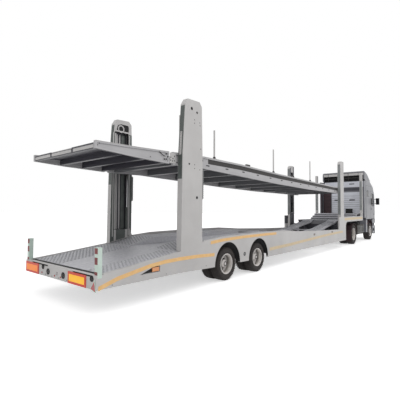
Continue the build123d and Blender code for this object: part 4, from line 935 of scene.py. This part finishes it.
def tractorFittings():
    form = bmesh.new()
    for sign in (-1, 1):
        # rear lamp clusters on the bar
        addBox(form, 13.915, 13.921, sign * 0.45, sign * 0.78, 0.675, 0.785, 0, 0.004)
        for index, slot in enumerate((1, 2, 1)):
            y0, y1 = sign * (0.47 + 0.1 * index), sign * (0.55 + 0.1 * index)
            addBox(form, 13.906, 13.917, y0, y1, 0.69, 0.77, slot, 0.003)
        # tank steps, ribs and straps
        for z in (0.82, 0.56):
            addBox(form, 15.9, 16.35, sign * 1.203, sign * 1.212, z, z + 0.02, 3, 0.003)
        for index in range(14):
            x = 15.64 + index * 0.088
            addBox(form, x, x + 0.018, sign * 1.199, sign * 1.2045, 0.53, 0.86, 6, 0.002)
        for z in (0.54, 0.84):
            addBox(form, 15.6, 16.86, sign * 1.199, sign * 1.2035, z - 0.012, z + 0.012, 6)
        # lamps along the skirt and in the bumper pockets
        addBox(form, 17.46, 17.54, sign * 1.235, sign * 1.243, 0.96, 1.0, 1, 0.003)
        addBox(form, 19.62, 19.637, sign * 0.65, sign * 1.05, 0.54, 0.69, 4, 0.004)
        for centre in (0.75, 0.92):
            addRod(form, (19.62, sign * centre, 0.615), (19.6385, sign * centre, 0.615), 0.06, 24, 5)
    keys = ["voidBlack", "redLens", "amberLens", "castIron", "glass", "rodChrome", "channelPaint"]
    finishPiece(form, "tractor-fittings", keys, "tractor")


cabPanel = {"low": -1.04, "high": 0.64, "foot": 1.56, "head": 2.78, "rib": 0.125}
# boxes as stations, places across, heights, slot and bevel: on the rear wall, and on either side
cabRear = [
    (17.286, 17.292, 0.2, 0.48, 2.29, 2.36, 0, 0.002),
    (17.286, 17.292, -0.66, -0.36, 2.29, 2.36, 0, 0.002),
    # recess of the roof seam in dark painted shade, and the pale panel over it with its vent, paled as
    # painted light
    (17.296, 17.3, -1.12, 1.05, 2.86, 3.05, 7),
    (17.294, 17.3, -1.12, 1.05, 3.08, 3.4, 5, 0.002),
    (17.29, 17.295, -0.64, -0.36, 3.24, 3.29, 0),
    # junction box, and the air duct up the left side, whose seams follow; the duct carries the dark painted
    # shade of the extenders' inner faces
    (17.2, 17.3, -0.53, -0.17, 1.42, 1.82, 0, 0.012),
    (17.215, 17.3, 0.68, 1.1, 1.47, 2.76, 4, 0.02),
]
cabSides = [
    # seam round the roof and seams of the side
    (17.36, 19.05, 1.2452, 1.246, 3.15, 3.157, 0, 0.0),
    (18.4, 18.406, 1.2452, 1.246, 1.25, 2.88, 0, 0.0),
    (19.348, 19.354, 1.2452, 1.246, 1.25, 2.3, 0, 0.0),
    # sleeper windows with their seals
    (17.55, 17.95, 1.2452, 1.248, 2.55, 2.85, 3, 0.002),
    (17.53, 17.97, 1.2450, 1.2465, 2.53, 2.87, 0, 0.001),
    # inner faces of the side extenders, dark with painted shade
    (16.975, 17.29, 1.2045, 1.2, 1.47, 3.3, 4, 0.001),
    # mirror glasses
    (19.395, 19.401, 1.35, 1.5, 2.1, 2.46, 3, 0.002),
]


def cabFittings():
    form = bmesh.new()
    # ribbed panel of the rear wall with its vent slots
    low, high, foot, head, rib = cabPanel.values()
    addBox(form, 17.291, 17.3, low, high, foot, head, 5, 0.004)
    for index in range(1, int((head - foot) / rib)):
        z = foot + index * rib
        addBox(form, 17.2895, 17.292, low + 0.03, high - 0.03, z - 0.008, z + 0.008, 6)
    for box in cabRear:
        addBox(form, *box)
    for index in range(5):
        z = 1.68 + index * 0.22
        addBox(form, 17.212, 17.217, 0.7, 1.08, z - 0.006, z + 0.006, 0)
    # black strips at the rear corners of the cab sides: painted shade of the gap at the extenders
    for sign in (-1, 1):
        addBox(form, 17.302, 17.335, sign * 1.2448, sign * 1.2456, 1.3, 3.2, 0)
    # plugs of the air and power lines, and the seal of the lower edge
    for y in (-0.5, -0.42, 0.25):
        addRod(form, (17.3, y, 1.52), (17.27, y, 1.52), 0.022, 16, 2)
    addBox(form, 17.29, 17.3, -1.15, 1.15, 1.222, 1.26, 0, 0.003)
    for sign in (-1, 1):
        for x0, x1, y0, y1, z0, z1, slot, bevel in cabSides:
            addBox(form, x0, x1, sign * y0, sign * y1, z0, z1, slot, bevel)
    # wipers
    for y0, y1 in ((0.9, 0.1), (0.05, -0.75)):
        addRod(form, (19.555, y0, 2.0), (19.562, y1, 2.06), 0.008, 8, 0)
        addRod(form, (19.556, (y0 + y1) / 2, 1.97), (19.562, (y0 + y1) / 2, 2.04), 0.008, 8, 0)
    keys = ["voidBlack", "amberLens", "castIron", "glass", "extenderShade", "cabPanel", "channelPaint",
            "chassisPaint"]
    finishPiece(form, "cab-fittings", keys, "cab")


def spoilerFittings():
    form = bmesh.new()
    for y in (-0.85, -0.3, 0.3, 0.85):
        addRod(form, (17.34, y, 3.47), (17.42, y, 3.86), 0.018, 12, 0)
        addBox(form, 17.3105, 17.313, y - 0.012, y + 0.012, 3.77, 3.895, 0)
    addRod(form, (17.36, -1.1, 3.62), (17.36, 1.1, 3.62), 0.02, 12, 0)
    # header across the open back, and a black sheet behind it: painted shade in the opening
    addBox(form, 17.312, 17.325, -1.118, 1.118, 3.76, 3.898, 2, 0.003)
    addBox(form, 17.5, 17.51, -1.115, 1.115, 3.455, 3.86, 3)
    for y in (-0.9, -0.45, 0, 0.45, 0.9):
        addBox(form, 18.62, 18.68, y - 0.05, y + 0.05, 3.545, 3.575, 1, 0.006)
    finishPiece(form, "spoiler-fittings", ["castIron", "amberLens", "trailerPaint", "voidBlack"], "cab")


tractorFittings()
cabFittings()
spoilerFittings()
print("tractor")


# Gooseneck and ramp: tie holes, grip bars, cover plates

def neckFittings():
    form = bmesh.new()
    for index in range(9):
        x = 13.62 + index * 0.17
        addBox(form, x - 0.008, x + 0.008, -1.18, 1.18, 1.2195, 1.2235, 0)
        addBox(form, x + 0.05, x + 0.1, -1.12, 1.12, 1.2195, 1.2215, 2)
    # worn grip bars across the ramps
    for index in range(8):
        x = 12.16 + index * 0.17
        for sign in (-1, 1):
            ya, yb = sorted((sign * 0.45, sign * 0.78))
            xb = x + 0.045
            za, zb = heightAt(rampLine, x) + 0.0004, heightAt(rampLine, xb) + 0.0004
            addPlate(form, [(x, ya, za), (xb, ya, zb), (xb, yb, zb), (x, yb, za)], 0.002, (0, 0, 1), 1)
    # sloping sheet that closes the gap between the bulkhead and the gooseneck deck
    closing = [(13.09, -0.875, 1.03), (13.49, -0.875, 1.19), (13.49, -0.875, 1.199), (13.09, -0.875, 1.04)]
    addPlate(form, closing, 1.75, (0, 1, 0), 1)
    # dark bands on the risers and worn treads of the steps
    for x, z, rise in ((15.15, 1.22, 0.1), (15.4, 1.32, 0.1), (15.71, 1.42, 0.11)):
        addPlate(form, [(x + 0.003, -1.1, z + 0.015), (x + 0.014, -1.1, z + 0.07), (x + 0.014, 1.1, z + 0.07),
                        (x + 0.003, 1.1, z + 0.015)], 0.002, (-1, 0, 0), 1)
        addBox(form, x + 0.03, x + 0.22, -1.1, 1.1, z + rise + 0.0004, z + rise + 0.003, 1)
    # eyes of the lashing rings
    for sign in (-1, 1):
        for x in (13.8, 14.4, 15.0):
            addRing(form, (x, sign * 0.95, 1.2205), (0, 0, 1), 0.045, 0.03, 0.006, 20, 1)
    finishPiece(form, "neck-fittings", ["channelPaint", "chassisPaint", "voidBlack"], "trailer")


neckFittings()
print("gooseneck")


# Stage: floor, world and lamp

studio = {"floor": "#E9E9E9", "roughness": 0.9, "floorGlow": 0.55, "floorSize": 400, "floorHeight": -0.001,
          "shade": 0.74, "white": (1, 1, 1, 1), "long": 24, "wide": 10, "power": 560, "place": (6, -7, 11),
          "lean": 32}


def seenStraight(tree):
    # 1 where the eye meets a thing itself, or its mirror image, or sees it through glass
    path = put(tree, "ShaderNodeLightPath").outputs
    direct = calculate(tree, "MAXIMUM", path["Is Camera Ray"], path["Is Glossy Ray"])
    return calculate(tree, "MAXIMUM", direct, path["Is Transmission Ray"])


def makeStage():
    material, shader = newMaterial("pale-floor")
    tree = material.node_tree
    shader.inputs["Base Color"].default_value = linear(studio["floor"])
    shader.inputs["Roughness"].default_value = studio["roughness"]
    glow = calculate(tree, "MULTIPLY", seenStraight(tree), studio["floorGlow"])
    shader.inputs["Emission Color"].default_value = studio["white"]
    tree.links.new(glow, shader.inputs["Emission Strength"])
    bpy.ops.mesh.primitive_plane_add(size=studio["floorSize"], location=(0, 0, studio["floorHeight"]))
    floor = bpy.context.object
    floor.name = "floor"
    floor.data.materials.append(material)
    world = bpy.data.worlds.new("studio")
    bpy.context.scene.world = world
    world.use_nodes = True
    tree = world.node_tree
    tree.nodes.clear()
    strength = put(tree, "ShaderNodeMapRange", {"Value": seenStraight(tree), "To Min": studio["shade"],
                                                "To Max": 1.0})
    back = put(tree, "ShaderNodeBackground", {"Color": studio["white"], "Strength": strength.outputs[0]})
    put(tree, "ShaderNodeOutputWorld", {"Surface": back.outputs[0]})
    lamp = bpy.data.lights.new("sky-panel", "AREA")
    lamp.shape = "RECTANGLE"
    lamp.size = studio["long"]
    lamp.size_y = studio["wide"]
    lamp.energy = studio["power"]
    panel = newObject("sky-panel", lamp)
    panel.location = framePoint(*studio["place"])
    panel.rotation_euler = (math.radians(studio["lean"]), 0, 0)
    bpy.context.scene.view_settings.view_transform = "Standard"


makeStage()
